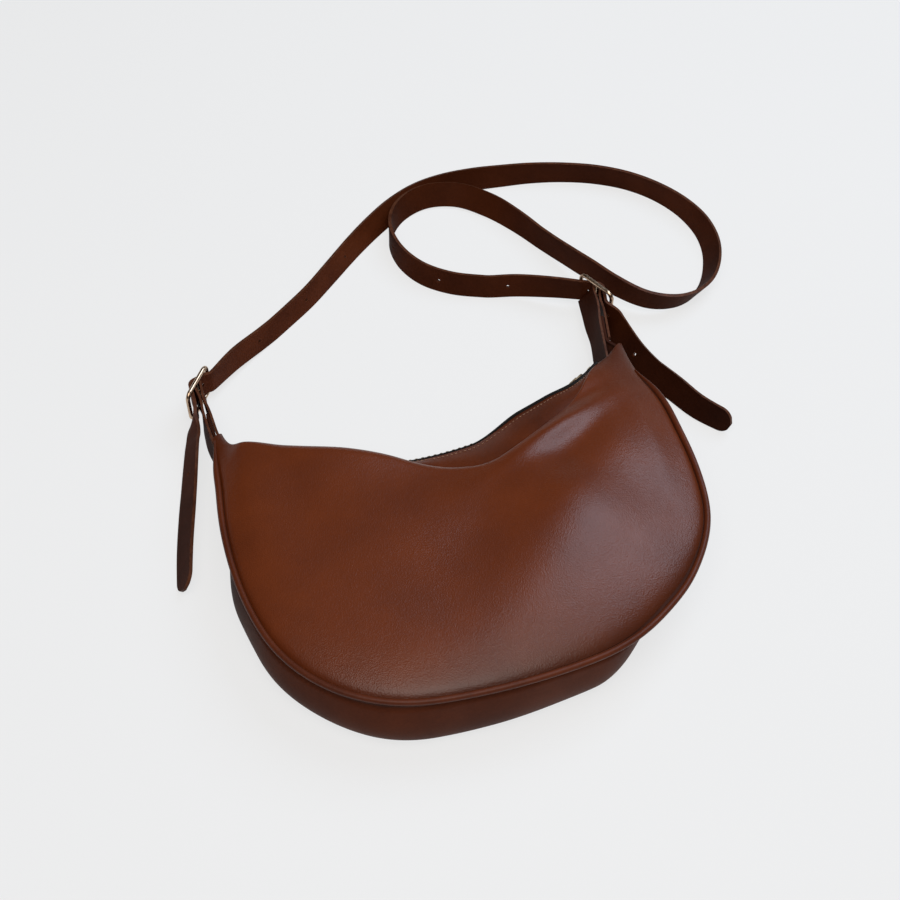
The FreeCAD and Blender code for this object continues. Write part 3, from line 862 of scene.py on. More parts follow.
@dataclass
class Panel:
    """Cut and form of the front panel with its two ears.

    Attributes:
        outline: Plan outline of the seams.
        crown: Height of the top of the panel.
        dome: Radius of its dome.
        flat_slope: Slope that the dome's right side is raised by.
        flat_start: Where that slope starts in X.
        flat_hump: Middle and width of it in Y.
        slumps: Where and how far the seam is drawn in from the outline.
        round_reach: Share of the length over which the bend into an ear is rounded off.
        round_taps: Count of places on each side that the rounding takes in.
        ear_share: Share of the panel's length that each ear takes.
        ear_start: Share of the outline where an ear leaves it.
        ear_outer: Outer edge of each ear, along the tab and outward, in millimetres.
        ear_inner: Inner edge of each ear, in the same way.
        ear_reaches: Reach of each ear's own height, in lengths of the ear.
        ear_heights: Height of the left ear's tip, its climb to the panel and its fall inward.
        neck_droops: Fall of the right ear below the dome, even and at its tip.
        neck_arch: Fall of the right ear from its middle to its edges.
        neck_square: Power of that arch.
        mouth_spots: Places of the mouth edge.
        roll_radii: Radius that the leather rolls over the mouth with, at the left and the right.
        roll_span: Where in X it goes from one to the other.
        roll_thin: Share of it that is left by the left ear.
        roll_thin_span: Where in X it thins.
        tuck: Distance that the panel reaches under the bead.
        tuck_slope: Slope of that part.
        firm: Form beside the seam where the leather is taut.
        slack: Form beside the seam where it is slack.
        slack_band: Where along the panel it is slack.
        flat_band: Where along the panel it lies flat.
        flat_swell: Height that it swells to where it lies flat.
        flat_sink: Height that it settles back by there.
        fold_fade: Distance from the seam where the folds are full.
        shade_band: Where along the panel the painted shade beside the seam is wide.
        shade_depths: How dark that painted shade is, where it is narrow and wide.
        shade_widths: How wide it is there.
        ear_shades: How dark the painted shade on each ear is.
    """

    outline: MoonOutline
    crown: float = 55.0 * MM
    dome: float = 750.0 * MM
    flat_slope: float = 0.12
    flat_start: float = 112.0 * MM
    flat_hump: Pair = (25.0 * MM, 45.0 * MM)
    slumps: tuple[Band, ...] = (
        Band((0.56, 0.66), (0.70, 0.80), 6.0 * MM),
        Band((0.70, 0.80), (0.86, 0.92), 1.8 * MM),
        Band((0.88, 0.955), None, -3.6 * MM),
        Band((0.01, 0.06), (0.10, 0.20), 1.0 * MM),
    )
    round_reach: float = 0.022
    round_taps: int = 3
    ear_share: float = 0.06
    ear_start: float = 0.028
    ear_outer: dict[Side, tuple[Pair, ...]] = field(
        default_factory=lambda: {
            Side.LEFT: ((-6.0, 5.0), (4.0, 3.4), (13.0, 1.8), (22.0, 0.2)),
            Side.RIGHT: ((-8.0, 12.0), (0.0, 9.6), (9.0, 8.3), (20.0, 7.8)),
        }
    )
    ear_inner: dict[Side, tuple[Pair, ...]] = field(
        default_factory=lambda: {
            Side.LEFT: ((8.5, -8.0), (17.0, -5.4), (25.0, -4.4)),
            Side.RIGHT: ((-1.5, -10.4), (4.0, -5.6), (11.5, 0.6)),
        }
    )
    ear_reaches: dict[Side, float] = field(
        default_factory=lambda: {Side.LEFT: 1.05, Side.RIGHT: 2.0}
    )
    ear_heights: Triple = (33.5 * MM, 4.5 * MM, 3.5 * MM)
    neck_droops: Pair = (0.4 * MM, 1.2 * MM)
    neck_arch: float = 3.4 * MM
    neck_square: float = 2.4
    mouth_spots: tuple[Pair, ...] = (
        (-0.1142, 0.1098), (-0.1000, 0.1036), (-0.0785, 0.0920), (-0.0560, 0.0815),
        (-0.0340, 0.0690), (-0.0170, 0.0570), (0.0020, 0.0465), (0.0240, 0.0415),
        (0.0500, 0.0500), (0.0740, 0.0630), (0.0920, 0.0765), (0.1025, 0.0882), (0.1115, 0.0990),
    )
    roll_radii: Pair = (8.0 * MM, 1.6 * MM)
    roll_span: Pair = (-20.0 * MM, 45.0 * MM)
    roll_thin: float = 0.4
    roll_thin_span: Pair = (-118.0 * MM, -92.0 * MM)
    tuck: float = 2.2 * MM
    tuck_slope: float = 0.4
    firm: SeamEdge = SeamEdge(
        3.0 * MM, 14.0 * MM, 22.0 * MM, 90.0 * MM, 3.0 * MM, 1.5 * MM, 1.8 * MM
    )
    slack: SeamEdge = SeamEdge(
        7.5 * MM, 30.0 * MM, 55.0 * MM, 150.0 * MM, 7.5 * MM, 2.6 * MM, 5.0 * MM
    )
    slack_band: Band = Band((0.42, 0.62), (0.62, 0.74))
    flat_band: Band = Band((0.76, 0.88))
    flat_swell: float = 1.0 * MM
    flat_sink: float = 2.0 * MM
    fold_fade: float = 30.0 * MM
    shade_band: Band = Band((0.24, 0.50), (0.66, 0.80))
    shade_depths: Pair = (0.35, 0.95)
    shade_widths: Pair = (2.5 * MM, 9.5 * MM)
    ear_shades: dict[Side, float] = field(
        default_factory=lambda: {Side.LEFT: 0.55, Side.RIGHT: 0.4}
    )

    def __post_init__(self) -> None:
        """Lay out the mouth edge."""
        self.mouth = Track([Vector(spot) for spot in self.mouth_spots])
        self.places: dict[tuple[str, float], Vector] = {}

    def dome_height(self, plan: Vector) -> float:
        """Return the height of the taut dome over a plan place, a little flatter at the right."""
        flat = self.flat_slope * max(0.0, plan.x - self.flat_start) * hump(plan.y, *self.flat_hump)
        drop = self.dome - math.sqrt(self.dome**2 - plan.x**2 - plan.y**2)
        return self.crown - drop + flat

    def slump(self, share: float) -> float:
        """Return how far the seam is drawn in from the outline, most at the lower right."""
        return sum(band.at(share) for band in self.slumps)

    def rounded(self, path: Callable[[float], Vector], share: float) -> Vector:
        """Return a place of an edge whose bend into an ear is rounded off.

        Args:
            path: The edge as it is cut.
            share: Share of the way along the panel.

        Returns:
            The plan place.
        """
        known = self.places.get((path.__name__, share))
        if known is None:
            reach = min(self.round_reach, share, 1.0 - share)
            known, total = Vector((0.0, 0.0)), 0.0
            for tap in range(-self.round_taps, self.round_taps + 1):
                weight = 0.5 + 0.5 * math.cos(math.pi * tap / (self.round_taps + 1))
                known += path(share + reach * tap / self.round_taps) * weight
                total += weight
            known /= total
            self.places[(path.__name__, share)] = known
        return known

    def seam(self, share: float) -> Vector:
        """Return the plan place of the outer edge, its ears included."""
        return self.rounded(self.cut_seam, unit(share))

    def crest(self, share: float) -> Vector:
        """Return the plan place of the mouth edge, its ears included."""
        return self.rounded(self.cut_crest, unit(share))

    def along_edge(
        self, share: float, edge: Callable[[float], Vector], ears: dict[Side, tuple[Pair, ...]]
    ) -> Vector:
        """Return a place of an edge as it is cut, on the panel or on an ear.

        Args:
            share: Share of the way along the panel.
            edge: The panel's own part of the edge, from 0 to 1.
            ears: Places of the ears' edges along the tab and outward from it, in millimetres.

        Returns:
            The plan place.
        """
        tip = self.ear_share
        if tip <= share <= 1.0 - tip:
            return edge((share - tip) / (1.0 - 2.0 * tip))
        side = side_at(share)
        along, out = self.outline.axes(side)
        root = self.outline.root(side)
        start = edge(0.0 if side is Side.LEFT else 1.0)
        line = [start, *(root + along * (u * MM) + out * (w * MM) for u, w in ears[side])]
        return through(line, 1.0 - min(share, 1.0 - share) / tip)

    def cut_seam(self, share: float) -> Vector:
        """Return the plan place of the outer edge as it is cut."""

        def edge(part: float) -> Vector:
            spot = blend(self.ear_start, 1.0 - self.ear_start, part)
            return self.outline.at(spot, -self.slump(spot))[0]

        return self.along_edge(share, edge, self.ear_outer)

    def cut_crest(self, share: float) -> Vector:
        """Return the plan place of the mouth edge as it is cut."""

        def edge(part: float) -> Vector:
            return self.mouth.at(part * self.mouth.length)

        return self.along_edge(share, edge, self.ear_inner)

    def ear_rise(self, share: float) -> float:
        """Return how far a place along the panel belongs to an ear, from 0 to 1."""
        reach = self.ear_share * self.ear_reaches[side_at(share)]
        return ease(0.0, 1.0, 1.0 - min(1.0, min(share, 1.0 - share) / reach))

    def ear_height(self, plan: Vector, share: float, step: float) -> float:
        """Return the height of an ear: a slope at the left, a low arch at the right.

        Args:
            plan: The plan place.
            share: Share of the way along the panel.
            step: Share of the way from the outer edge to the inner one.

        Returns:
            The height.
        """
        if side_at(share) is Side.LEFT:
            tip, climb, fall = self.ear_heights
            return tip + climb * min(1.0, share / self.ear_share) - fall * step**3
        even, more = self.neck_droops
        arch = self.neck_arch * abs(2.0 * step - 1.0) ** self.neck_square
        return self.dome_height(plan) - (even + more * self.ear_rise(share) ** 2) - arch

    def roll(self, x: float) -> float:
        """Return the radius that the leather rolls over the mouth with."""
        full = blend(*self.roll_radii, ease(*self.roll_span, x))
        return full * blend(self.roll_thin, 1.0, ease(*self.roll_thin_span, x))

    def folds(self, plan: Vector) -> float:
        """Return how far the slack leather stands off the taut dome."""
        return sum(fold.at(plan.x / MM, plan.y / MM) for fold in FOLDS) * MM

    def place(self, share: float, rise: float) -> Vector:
        """Return a place on the outside of the panel.

        Args:
            share: Share of the way along the seam from the left ear.
            rise: Share of the way from under the bead to the mouth.

        Returns:
            The place.
        """
        step = ease_round(rise)
        low = self.seam(share)
        high = self.crest(share)
        reach = (high - low).length + self.tuck
        from_seam = step * reach - self.tuck
        from_mouth = reach - self.tuck - from_seam
        plan = low + (high - low).normalized() * from_seam
        inside = max(0.0, from_seam)
        flat = self.flat_band.at(share)
        deep = self.slack_band.at(share)
        edge = SeamEdge(*(blend(a, b, deep) for a, b in zip(self.firm, self.slack)))
        swell = blend(edge.swell, self.flat_swell, flat)
        sink = blend(edge.sink, self.flat_sink, flat)
        z = self.dome_height(plan) + self.folds(plan) * ease(0.0, self.fold_fade, inside)
        z += swell * (1.0 - math.exp(-inside / edge.swell_reach))
        z -= sink * ease(edge.settle_from, edge.settle_to, inside)
        z -= edge.groove * math.exp(-inside / edge.groove_reach)
        z -= self.tuck_slope * max(0.0, -from_seam)
        roll = self.roll(plan.x)
        if from_mouth < roll:
            z -= roll - math.sqrt(max(0.0, roll * roll - (roll - from_mouth) ** 2))
        z = blend(z, self.ear_height(plan, share, step), self.ear_rise(share))
        return Vector((plan.x, plan.y, z))

    def wear_and_painted_shade(self, share: float, rise: float) -> float:
        """Return how dark the panel's painted shade is, most along the lower right seam and on the
        ears.
        """
        inside = ease_round(rise) * (self.crest(share) - self.seam(share)).length
        wide = self.shade_band.at(share)
        # Painted shade in the groove beside the seam, widest along the lower right, and over the
        # ears
        rim = blend(*self.shade_depths, wide) * math.exp(-inside / blend(*self.shade_widths, wide))
        return max(rim, self.ear_shades[side_at(share)] * self.ear_rise(share))


@dataclass
class Shell:
    """Front panel, back panel, gusset, pipings and linings of the bag.

    Attributes:
        panel: Form of the front panel.
        zip_line: Arc of the zip.
        leather: Thickness of the leather.
        gusset_leather: Thickness of the gusset.
        inset: Distance that the back seam lies inside the front one.
        tucks: Where and how far it lies further inside.
        tuck_hump: The same at the bottom, as a middle, a width and an amount.
        swell: Bulge of the gusset.
        puffs: Share of the bulge at the left end and past it.
        puff_span: Where it goes from one to the other.
        puff_dent: Where and by what share it is less at the bottom.
        puff_end: Where it ends at the right.
        arch_start: Share of the bulge's round that lies below the back seam.
        arch_powers: Powers that draw the bulge down and fill it.
        ribs: Rolls under the front seam, as heights, middles and widths.
        ripple: Height of the gusset's slight ripple.
        ripple_rate: Its radians in a metre.
        wall_drop: Distance of the gusset's top below the dome.
        wall_foot: Height of its lower edge.
        shade_left: How dark the painted shade on it is at the left.
        shade_top: How dark the painted shade on it is under the front seam.
        tongue: Length of its tongue past each end of the outline.
        gather: Where it gathers to a tongue, from the end of the outline.
        neck: Where the tongue stands in the neck.
        necks: Height of each neck and how far its foot and its top stand out.
        tongue_foot: Height of the tongue's lower edge.
        foot_span: Where the lower edge rises to it.
        tongue_top: Height of the tongue's upper edge.
        tongue_out: How far the tongue stands out.
        tongue_turn: Distance over which it turns to follow the tab.
        bead: Width of the front piping.
        bead_ends: Start of the front piping, and its end in ears from the right tip.
        bead_tuck: Share of its half width that it moves in over an ear.
        bead_heights: Height of its middle against the dome and against an ear.
        foot_bead: Radius of the back piping.
        foot_ends: Start and end of the back piping.
        foot_place: Its distance outward from the back seam and its height.
        bead_thin: Share of a bead's radius at its ends.
        bead_thin_reach: Share of its length that it thins over.
        back_seam: Distance of the back panel's edge inside the back seam.
        facing: Distance of the back facing inside the zip.
        back_lift: Height of the back panel's edge.
        back_lift_reach: Distance that the lift takes.
        lining: Thickness of the front and the back lining.
        lining_gaps: Distance of each lining from its panel.
        front_lining_span: Part of the front panel that its lining takes each way.
        back_lining_span: Part of the back panel that its lining takes each way.
    """

    panel: Panel
    zip_line: ZipLine
    leather: float = 2.0 * MM
    gusset_leather: float = 1.9 * MM
    inset: float = 10.0 * MM
    tucks: tuple[Band, ...] = (
        Band((0.02, 0.16), (0.36, 0.54), -5.0 * MM),
        Band((0.56, 0.68), (0.90, 1.0), 7.0 * MM),
    )
    tuck_hump: Triple = (0.48, 0.12, -3.0 * MM)
    swell: float = 5.5 * MM
    puffs: Pair = (0.55, 1.75)
    puff_span: Pair = (0.07, 0.17)
    puff_dent: Band = Band((0.34, 0.46), much=0.28)
    puff_end: Band = Band(fade=(0.56, 0.66))
    arch_start: float = 0.10
    arch_powers: Pair = (0.72, 0.9)
    ribs: tuple[Triple, ...] = ((-1.3 * MM, 0.85, 0.03), (0.9 * MM, 0.93, 0.045))
    ripple: float = 0.5 * MM
    ripple_rate: float = 95.0
    wall_drop: float = 1.0 * MM
    wall_foot: float = 0.9 * MM
    shade_left: Band = Band(fade=(0.16, 0.34), much=0.8)
    shade_top: Band = Band((0.80, 0.95), much=0.7)
    tongue: float = 46.0 * MM
    gather: Pair = (-30.0 * MM, 20.0 * MM)
    neck: Band = Band((-12.0 * MM, 8.0 * MM), (17.0 * MM, 26.0 * MM))
    necks: dict[Side, Triple] = field(
        default_factory=lambda: {
            Side.LEFT: (30.5 * MM, 0.4 * MM, 0.4 * MM),
            Side.RIGHT: (26.5 * MM, 4.6 * MM, 7.0 * MM),
        }
    )
    tongue_foot: float = 9.9 * MM
    foot_span: Pair = (-6.0 * MM, 20.0 * MM)
    tongue_top: float = 27.0 * MM
    tongue_out: float = -0.1 * MM
    tongue_turn: float = 14.0 * MM
    bead: float = 4.0 * MM
    bead_ends: Pair = (0.008, 0.8)
    bead_tuck: float = 0.8
    bead_heights: Pair = (-0.9 * MM, 0.4 * MM)
    foot_bead: float = 1.6 * MM
    foot_ends: Pair = (0.004, 0.996)
    foot_place: Pair = (0.4 * MM, 2.1 * MM)
    bead_thin: float = 0.3
    bead_thin_reach: float = 0.05
    back_seam: float = 0.4 * MM
    facing: float = 2.1 * MM
    back_lift: float = 1.0 * MM
    back_lift_reach: float = 3.0 * MM
    lining: Pair = (0.6 * MM, 0.5 * MM)
    lining_gaps: Pair = (0.4 * MM, 0.5 * MM)
    front_lining_span: tuple[Pair, Pair] = ((0.09, 0.91), (0.14, 0.86))
    back_lining_span: tuple[Pair, Pair] = ((0.05, 0.95), (0.06, 0.94))

    @property
    def outline(self) -> MoonOutline:
        """Return the plan outline of the seams."""
        return self.panel.outline

    def shaded(self, share: float, rise: float) -> float:
        """Return how dark the gusset's painted shade is, most at the left and under the front
        piping.
        """
        # Painted shade: darker down the gusset's left side and under the front piping
        return max(self.shade_left.at(share), self.shade_top.at(rise))

    def tuck_in(self, share: float) -> float:
        """Return how far the back seam lies inside the front one, more where the bag slumps."""
        middle, width, much = self.tuck_hump
        more = sum(band.at(share) for band in self.tucks)
        return self.inset + more + much * hump(share, middle, width)

    def puff(self, share: float) -> float:
        """Return the bulge of the gusset, fullest at the lower left and flat at the right."""
        full = blend(*self.puffs, ease(*self.puff_span, share)) * (1.0 - self.puff_dent.at(share))
        return self.swell * full * self.puff_end.at(share)

    def wall(self, share: float, rise: float) -> Vector:
        """Return a place on the outside of the gusset, its tongues included.

        Args:
            share: Share along the gusset from its left tongue.
            rise: Share of the way from the back seam to the front one.

        Returns:
            The place.
        """
        length = self.outline.length
        run = share * (length + 2.0 * self.tongue) - self.tongue
        near = unit(run / length)
        plan, out = self.outline.at(near)
        slump = self.panel.slump(near)
        top = self.panel.dome_height(plan - out * slump) - self.wall_drop
        low = self.wall_foot
        drawn, filled = self.arch_powers
        arch = math.sin(math.pi * blend(self.arch_start, 1.0, rise) ** drawn)
        offset = self.puff(near) * max(0.0, arch) ** filled
        offset += sum(height * hump(rise, middle, width) for height, middle, width in self.ribs)
        offset += self.ripple * math.sin(run * self.ripple_rate) * math.sin(math.pi * rise)
        offset -= self.tuck_in(near) * (1.0 - rise) + slump
        beyond = max(-run, run - length)
        if beyond > self.gather[0]:
            side = side_at(near)
            gather = ease(*self.gather, beyond)
            neck = self.neck.at(beyond)
            crown, foot_out, top_out = self.necks[side]
            low = blend(low, self.tongue_foot, ease(*self.foot_span, beyond))
            top = blend(blend(top, self.tongue_top, gather), crown, neck)
            offset = blend(offset, self.tongue_out, gather)
            offset = blend(offset, blend(foot_out, top_out, rise), neck)
            if beyond > 0.0:
                along, tab_out = self.outline.axes(side)
                out = out.lerp(tab_out, ease(0.0, self.tongue_turn, beyond)).normalized()
                plan = plan + along * beyond
        plan = plan + out * offset
        return Vector((plan.x, plan.y, blend(low, top, rise)))

    def rim(self, share: float) -> Vector:
        """Return the middle of the front piping, which ends under the right ear."""
        panel = self.panel
        start, end = self.bead_ends
        share = blend(start, 1.0 - end * panel.ear_share, share)
        step = 0.002
        way = (panel.seam(share + step) - panel.seam(share - step)).normalized()
        rise = panel.ear_rise(share)
        out = self.bead / 2.0 * (1.0 - self.bead_tuck * rise)
        plan = panel.seam(share) + Vector((way.y, -way.x)) * out
        on_dome = panel.dome_height(plan) + self.bead_heights[0]
        on_ear = panel.ear_height(plan, share, 0.0) + self.bead_heights[1]
        return Vector((plan.x, plan.y, blend(on_dome, on_ear, rise)))

    def back_edge(self, share: float, offset: float) -> Vector:
        """Return a plan place at a distance outward from the back seam."""
        return self.outline.at(share, offset - self.tuck_in(share) - self.panel.slump(share))[0]

    def foot_rim(self, share: float) -> Vector:
        """Return the middle of the back piping."""
        out, height = self.foot_place
        return Vector((*self.back_edge(blend(*self.foot_ends, share), out), height))

    def bead_round(self, path: Callable[[float], Vector], radius: float) -> Placer:
        """Return the placer of a piping bead.

        Args:
            path: Middle of the bead at a share of its length.
            radius: Its radius.

        Returns:
            The placer.
        """

        def place(share: float, turn: float) -> Vector:
            middle = path(share)
            step = 0.003
            way = path(min(1.0, share + step)) - path(max(0.0, share - step))
            out = Vector((way.y, -way.x, 0.0)).normalized()
            full = ease(0.0, self.bead_thin_reach, min(share, 1.0 - share))
            thin = radius * blend(self.bead_thin, 1.0, full)
            angle = 2.0 * math.pi * turn
            return middle + out * (thin * math.cos(angle)) + UP * (thin * math.sin(angle))

        return place

    def back(self, share: float, rise: float) -> Vector:
        """Return a place on the outside of the back panel."""
        low = self.back_edge(share, -self.back_seam)
        high = self.zip_line.at(self.zip_line.turn_at(share), -self.facing, 0.0).to_2d()
        plan = low.lerp(high, rise)
        edge = min(rise, 1.0 - rise) * (high - low).length
        return Vector((plan.x, plan.y, self.back_lift * math.exp(-edge / self.back_lift_reach)))

    def front_under(self, share: float, rise: float) -> Vector:
        """Return a place on the lining under the front panel."""
        across, up = self.front_lining_span
        inner = self.panel.place(blend(*across, share), blend(*up, rise))
        return inner - UP * (self.leather + self.lining_gaps[0])

    def back_under(self, share: float, rise: float) -> Vector:
        """Return a place on the lining over the back panel."""
        across, up = self.back_lining_span
        inner = self.back(blend(*across, share), blend(*up, rise))
        return Vector((inner.x, inner.y, self.leather + self.lining_gaps[1]))

    def build(self, finishes: Finishes) -> None:
        """Make and dress the shell.

        Args:
            finishes: The finishes of the bag.
        """
        span = (self.outline.length, 0.12)
        wall_span = (0.7, 0.05)
        bead_span = (0.6, 0.015)
        panel = {"span": span, "thick": self.leather, "rounding": EDGE_ROUND}
        bead = {"grid": (320, 14), "span": bead_span, "tube": True}
        front_lining, back_lining = self.lining
        rim = self.bead_round(self.rim, self.bead / 2.0)
        foot_rim = self.bead_round(self.foot_rim, self.foot_bead)
        front = Sheet(
            "front_leather", (260, 84), self.panel.place, painted_shade=self.panel.wear_and_painted_shade, **panel
        )
        settle(front.build(finishes.shell), "front_panel")
        back = Sheet("back_leather", (200, 40), self.back, flip=True, **panel)
        settle(back.build(finishes.shell), "back_panel")
        wall = Sheet(
            "gusset_leather", (320, 44), self.wall, wall_span, self.gusset_leather,
            rounding=EDGE_ROUND, painted_shade=self.shaded,
        )
        settle(wall.build(finishes.gusset), "gusset")
        piping = Sheet("front_bead", place=rim, **bead)
        settle(piping.build(finishes.trim), "front_piping")
        piping = Sheet("back_bead", place=foot_rim, **bead)
        settle(piping.build(finishes.trim), "back_piping")
        cloth = Sheet("front_lining_cloth", (120, 40), self.front_under, span, front_lining)
        settle(cloth.build(finishes.lining), "front_lining")
        cloth = Sheet("back_lining_cloth", (120, 30), self.back_under, span, back_lining, 1.0)
        settle(cloth.build(finishes.lining), "back_lining")


@dataclass
class ZipMouth:
    """Facings, tapes, teeth and metal of the zip.

    Attributes:
        shell: The shell that it closes.
        gap: Distance between the two rows of teeth.
        tooth: Width, depth and height of one tooth.
        tooth_round: Radius of its edges.
        pitch: Distance from one tooth to the next.
        row_share: Share of the zip that the rows take.
        tape: Thickness of a tape.
        tape_heights: Lower and upper edge of each tape above the zip's middle.
        lift_span: Where in X the front tape is lifted.
        settle_span: Where in X it settles again.
        settle_share: Share of the lift that it settles by.
        lean_span: Where the front tape's lean ends, from the middle.
        leans: Lean of the front tape, low and lifted.
        tops: Height of its upper edge, low and lifted.
        facing: Thickness of the facings.
        facing_ends: Part of the mouth that the front facing takes.
        facing_sink: Distance of its start behind the mouth edge.
        bare_span: Where in X it bares the tape.
        foot_outs: Distance of its foot before the tape, covering it and baring it.
        foot_ups: Height of its foot over the tape's edge in the same way.
        bow: Height that it bows up by.
        back_heights: Lower and upper edge of the back facing.
        stitch: Distance from one stitch to the next.
        stitch_line: Place of the stitches on the front facing.
        stitch_size: Length in stitches, width and height of the thread.
        stitch_lift: Height of the thread over the facing.
    """

    shell: Shell
    gap: float = 6.0 * MM
    tooth: Triple = (2.2 * MM, 2.6 * MM, 3.0 * MM)
    tooth_round: float = 0.5 * MM
    pitch: float = 4.0 * MM
    row_share: float = 0.903
    tape: float = 1.0 * MM
    tape_heights: dict[Row, Pair] = field(
        default_factory=lambda: {
            Row.FRONT: (4.4 * MM, 11.0 * MM),
            Row.BACK: (-13.4 * MM, -4.4 * MM),
        }
    )
    lift_span: Pair = (18.0 * MM, 56.0 * MM)
    settle_span: Pair = (74.0 * MM, 108.0 * MM)
    settle_share: float = 0.65
    lean_span: Pair = (60.0 * MM, 112.0 * MM)
    leans: Pair = (0.6 * MM, -3.0 * MM)
    tops: Pair = (6.6 * MM, 14.5 * MM)
    facing: float = 1.6 * MM
    facing_ends: Pair = (0.02, 0.98)
    facing_sink: float = 0.3 * MM
    bare_span: Pair = (26.0 * MM, 48.0 * MM)
    foot_outs: Pair = (1.2 * MM, 1.6 * MM)
    foot_ups: Pair = (0.6 * MM, -0.5 * MM)
    bow: float = 1.2 * MM
    back_heights: Pair = (-25.5 * MM, -9.4 * MM)
    stitch: float = 3.0 * MM
    stitch_line: float = 0.86
    stitch_size: Triple = (0.62, 0.6 * MM, 0.5 * MM)
    stitch_lift: float = 0.1 * MM

    @property
    def line(self) -> ZipLine:
        """Return the arc of the zip."""
        return self.shell.zip_line

    def drape(self, turn: float) -> Pair:
        """Return how far the top of the front tape leans out and stands up at a turn."""
        x = self.line.radius * math.sin(turn)
        settled = self.settle_share * ease(*self.settle_span, x)
        rise = ease(*self.lift_span, x) * (1.0 - settled)
        lean = blend(*self.leans, rise) * (1.0 - ease(*self.lean_span, abs(x)))
        return lean, blend(*self.tops, rise)

    def tape_place(self, row: Row) -> Placer:
        """Return the placer of one tape."""
        low, high = self.tape_heights[row]

        def place(share: float, rise: float) -> Vector:
            turn = self.line.turn_at(share)
            lean, top = self.drape(turn) if row is Row.FRONT else (0.0, high)
            return self.line.at(turn, lean * rise * rise, blend(low, top, rise))

        return place

    def front_facing(self, share: float, rise: float) -> Vector:
        """Return a place on the strip from the mouth edge down to the zip."""
        panel = self.shell.panel
        plan = panel.mouth.at(blend(*self.facing_ends, share) * panel.mouth.length)
        height = panel.dome_height(plan) + panel.folds(plan) - panel.roll(plan.x)
        start = Vector((plan.x, plan.y - self.facing_sink, height))
        turn = math.asin(max(-1.0, min(1.0, plan.x / self.line.radius)))
        lean, top = self.drape(turn)
        bare = ease(*self.bare_span, plan.x)
        foot = self.line.at(
            turn, lean + blend(*self.foot_outs, bare), top + blend(*self.foot_ups, bare)
        )
        spot = start.lerp(foot, rise)
        spot.z += self.bow * math.sin(math.pi * rise)
        return spot

    def back_facing(self, share: float, rise: float) -> Vector:
        """Return a place on the strip from the back panel up to the zip."""
        height = blend(*self.back_heights, rise)
        return self.line.at(self.line.turn_at(share), -self.shell.facing, height)

    def stitches(self, finish: Finish) -> Piece:
        """Sew a row of stitches along the far edge of the front facing.

        Args:
            finish: Finish of the thread.

        Returns:
            The new piece.
        """
        bm = bmesh.new()
        first, last = self.facing_ends
        count = round(self.shell.panel.mouth.length * (last - first) / self.stitch)
        row = self.stitch_line
        reach, aside = 0.3 / count, 0.04
        length, width, height = self.stitch_size
        size = Matrix.Diagonal((self.stitch * length, width, height, 1.0))
        for i in range(count):
            share = (i + 0.5) / count
            here = self.front_facing(share, row)
            way = self.front_facing(share + reach, row) - self.front_facing(share - reach, row)
            way.normalize()
            across = self.front_facing(share, row + aside) - self.front_facing(share, row - aside)
            normal = way.cross(across).normalized()
            turn = Matrix((way, normal.cross(way), normal)).transposed().to_4x4()
            place = Matrix.Translation(here + normal * self.stitch_lift)
            bmesh.ops.create_icosphere(
                bm, subdivisions=1, radius=0.5, matrix=place @ turn @ size
            )
        bmesh.ops.recalc_face_normals(bm, faces=bm.faces)
        return bake(piece_from("facing_stitches", bm, finish), 80.0)

    def teeth(self, row: Row, finish: Finish) -> Piece:
        """Make one row of rounded teeth.

        Args:
            row: Which row.
            finish: Its finish.

        Returns:
            The new piece.
        """
        bm = bmesh.new()
        middle = row.value * (self.gap / 2.0 + self.tooth[2] / 2.0)
        place = Matrix.Translation((0.0, self.line.low, self.line.height + middle))
        bmesh.ops.create_cube(bm, size=1.0, matrix=place @ Matrix.Diagonal((*self.tooth, 1.0)))
        bmesh.ops.bevel(
            bm, geom=bm.edges[:], offset=self.tooth_round, segments=1, profile=0.5,
            affect="EDGES", material=-1, clamp_overlap=True,
        )
        first = bm.verts[:] + bm.edges[:] + bm.faces[:]
        step = self.pitch / self.line.radius
        count = int(2.0 * self.line.end * self.row_share / step)
        centre = Vector((*self.line.centre, 0.0))
        for i in range(count + 1):
            copy = bmesh.ops.duplicate(bm, geom=first)["geom"]
            turn = Matrix.Rotation((i - count / 2.0) * step, 3, "Z")
            bmesh.ops.rotate(bm, verts=verts_of(copy), cent=centre, matrix=turn)
        bmesh.ops.delete(bm, geom=verts_of(first), context="VERTS")
        return bake(piece_from(row.name.lower() + "_zip_row", bm, finish), 30.0)

    def build(self, finishes: Finishes) -> None:
        """Make and dress the zip.

        Args:
            finishes: The finishes of the bag.
        """
        length = 0.25
        for row in Row:
            word = row.name.lower()
            low, high = self.tape_heights[row]
            tape = Sheet(
                word + "_tape_cloth", (120, 4), self.tape_place(row), (length, high - low),
                self.tape, 0.0,
            )
            settle(tape.build(finishes.tape), word + "_zip_tape")
            settle(self.teeth(row, finishes.teeth), word + "_zip_teeth")
        strip = {"thick": self.facing, "rounding": EDGE_ROUND}
        front_span, back_span = (0.28, 0.03), (length, 0.012)
        front = Sheet("front_facing_leather", (160, 16), self.front_facing, front_span, **strip)
        settle(front.build(finishes.trim), "front_zip_facing")
        settle(self.stitches(finishes.thread))
        back = Sheet(
            "back_facing_leather", (120, 10), self.back_facing, back_span, side=1.0, **strip
        )
        settle(back.build(finishes.trim), "back_zip_facing")
        for node in ("left_zip_stop", "right_zip_stop", "zip_slider", "zip_pull"):
            dress(node, finishes.teeth)


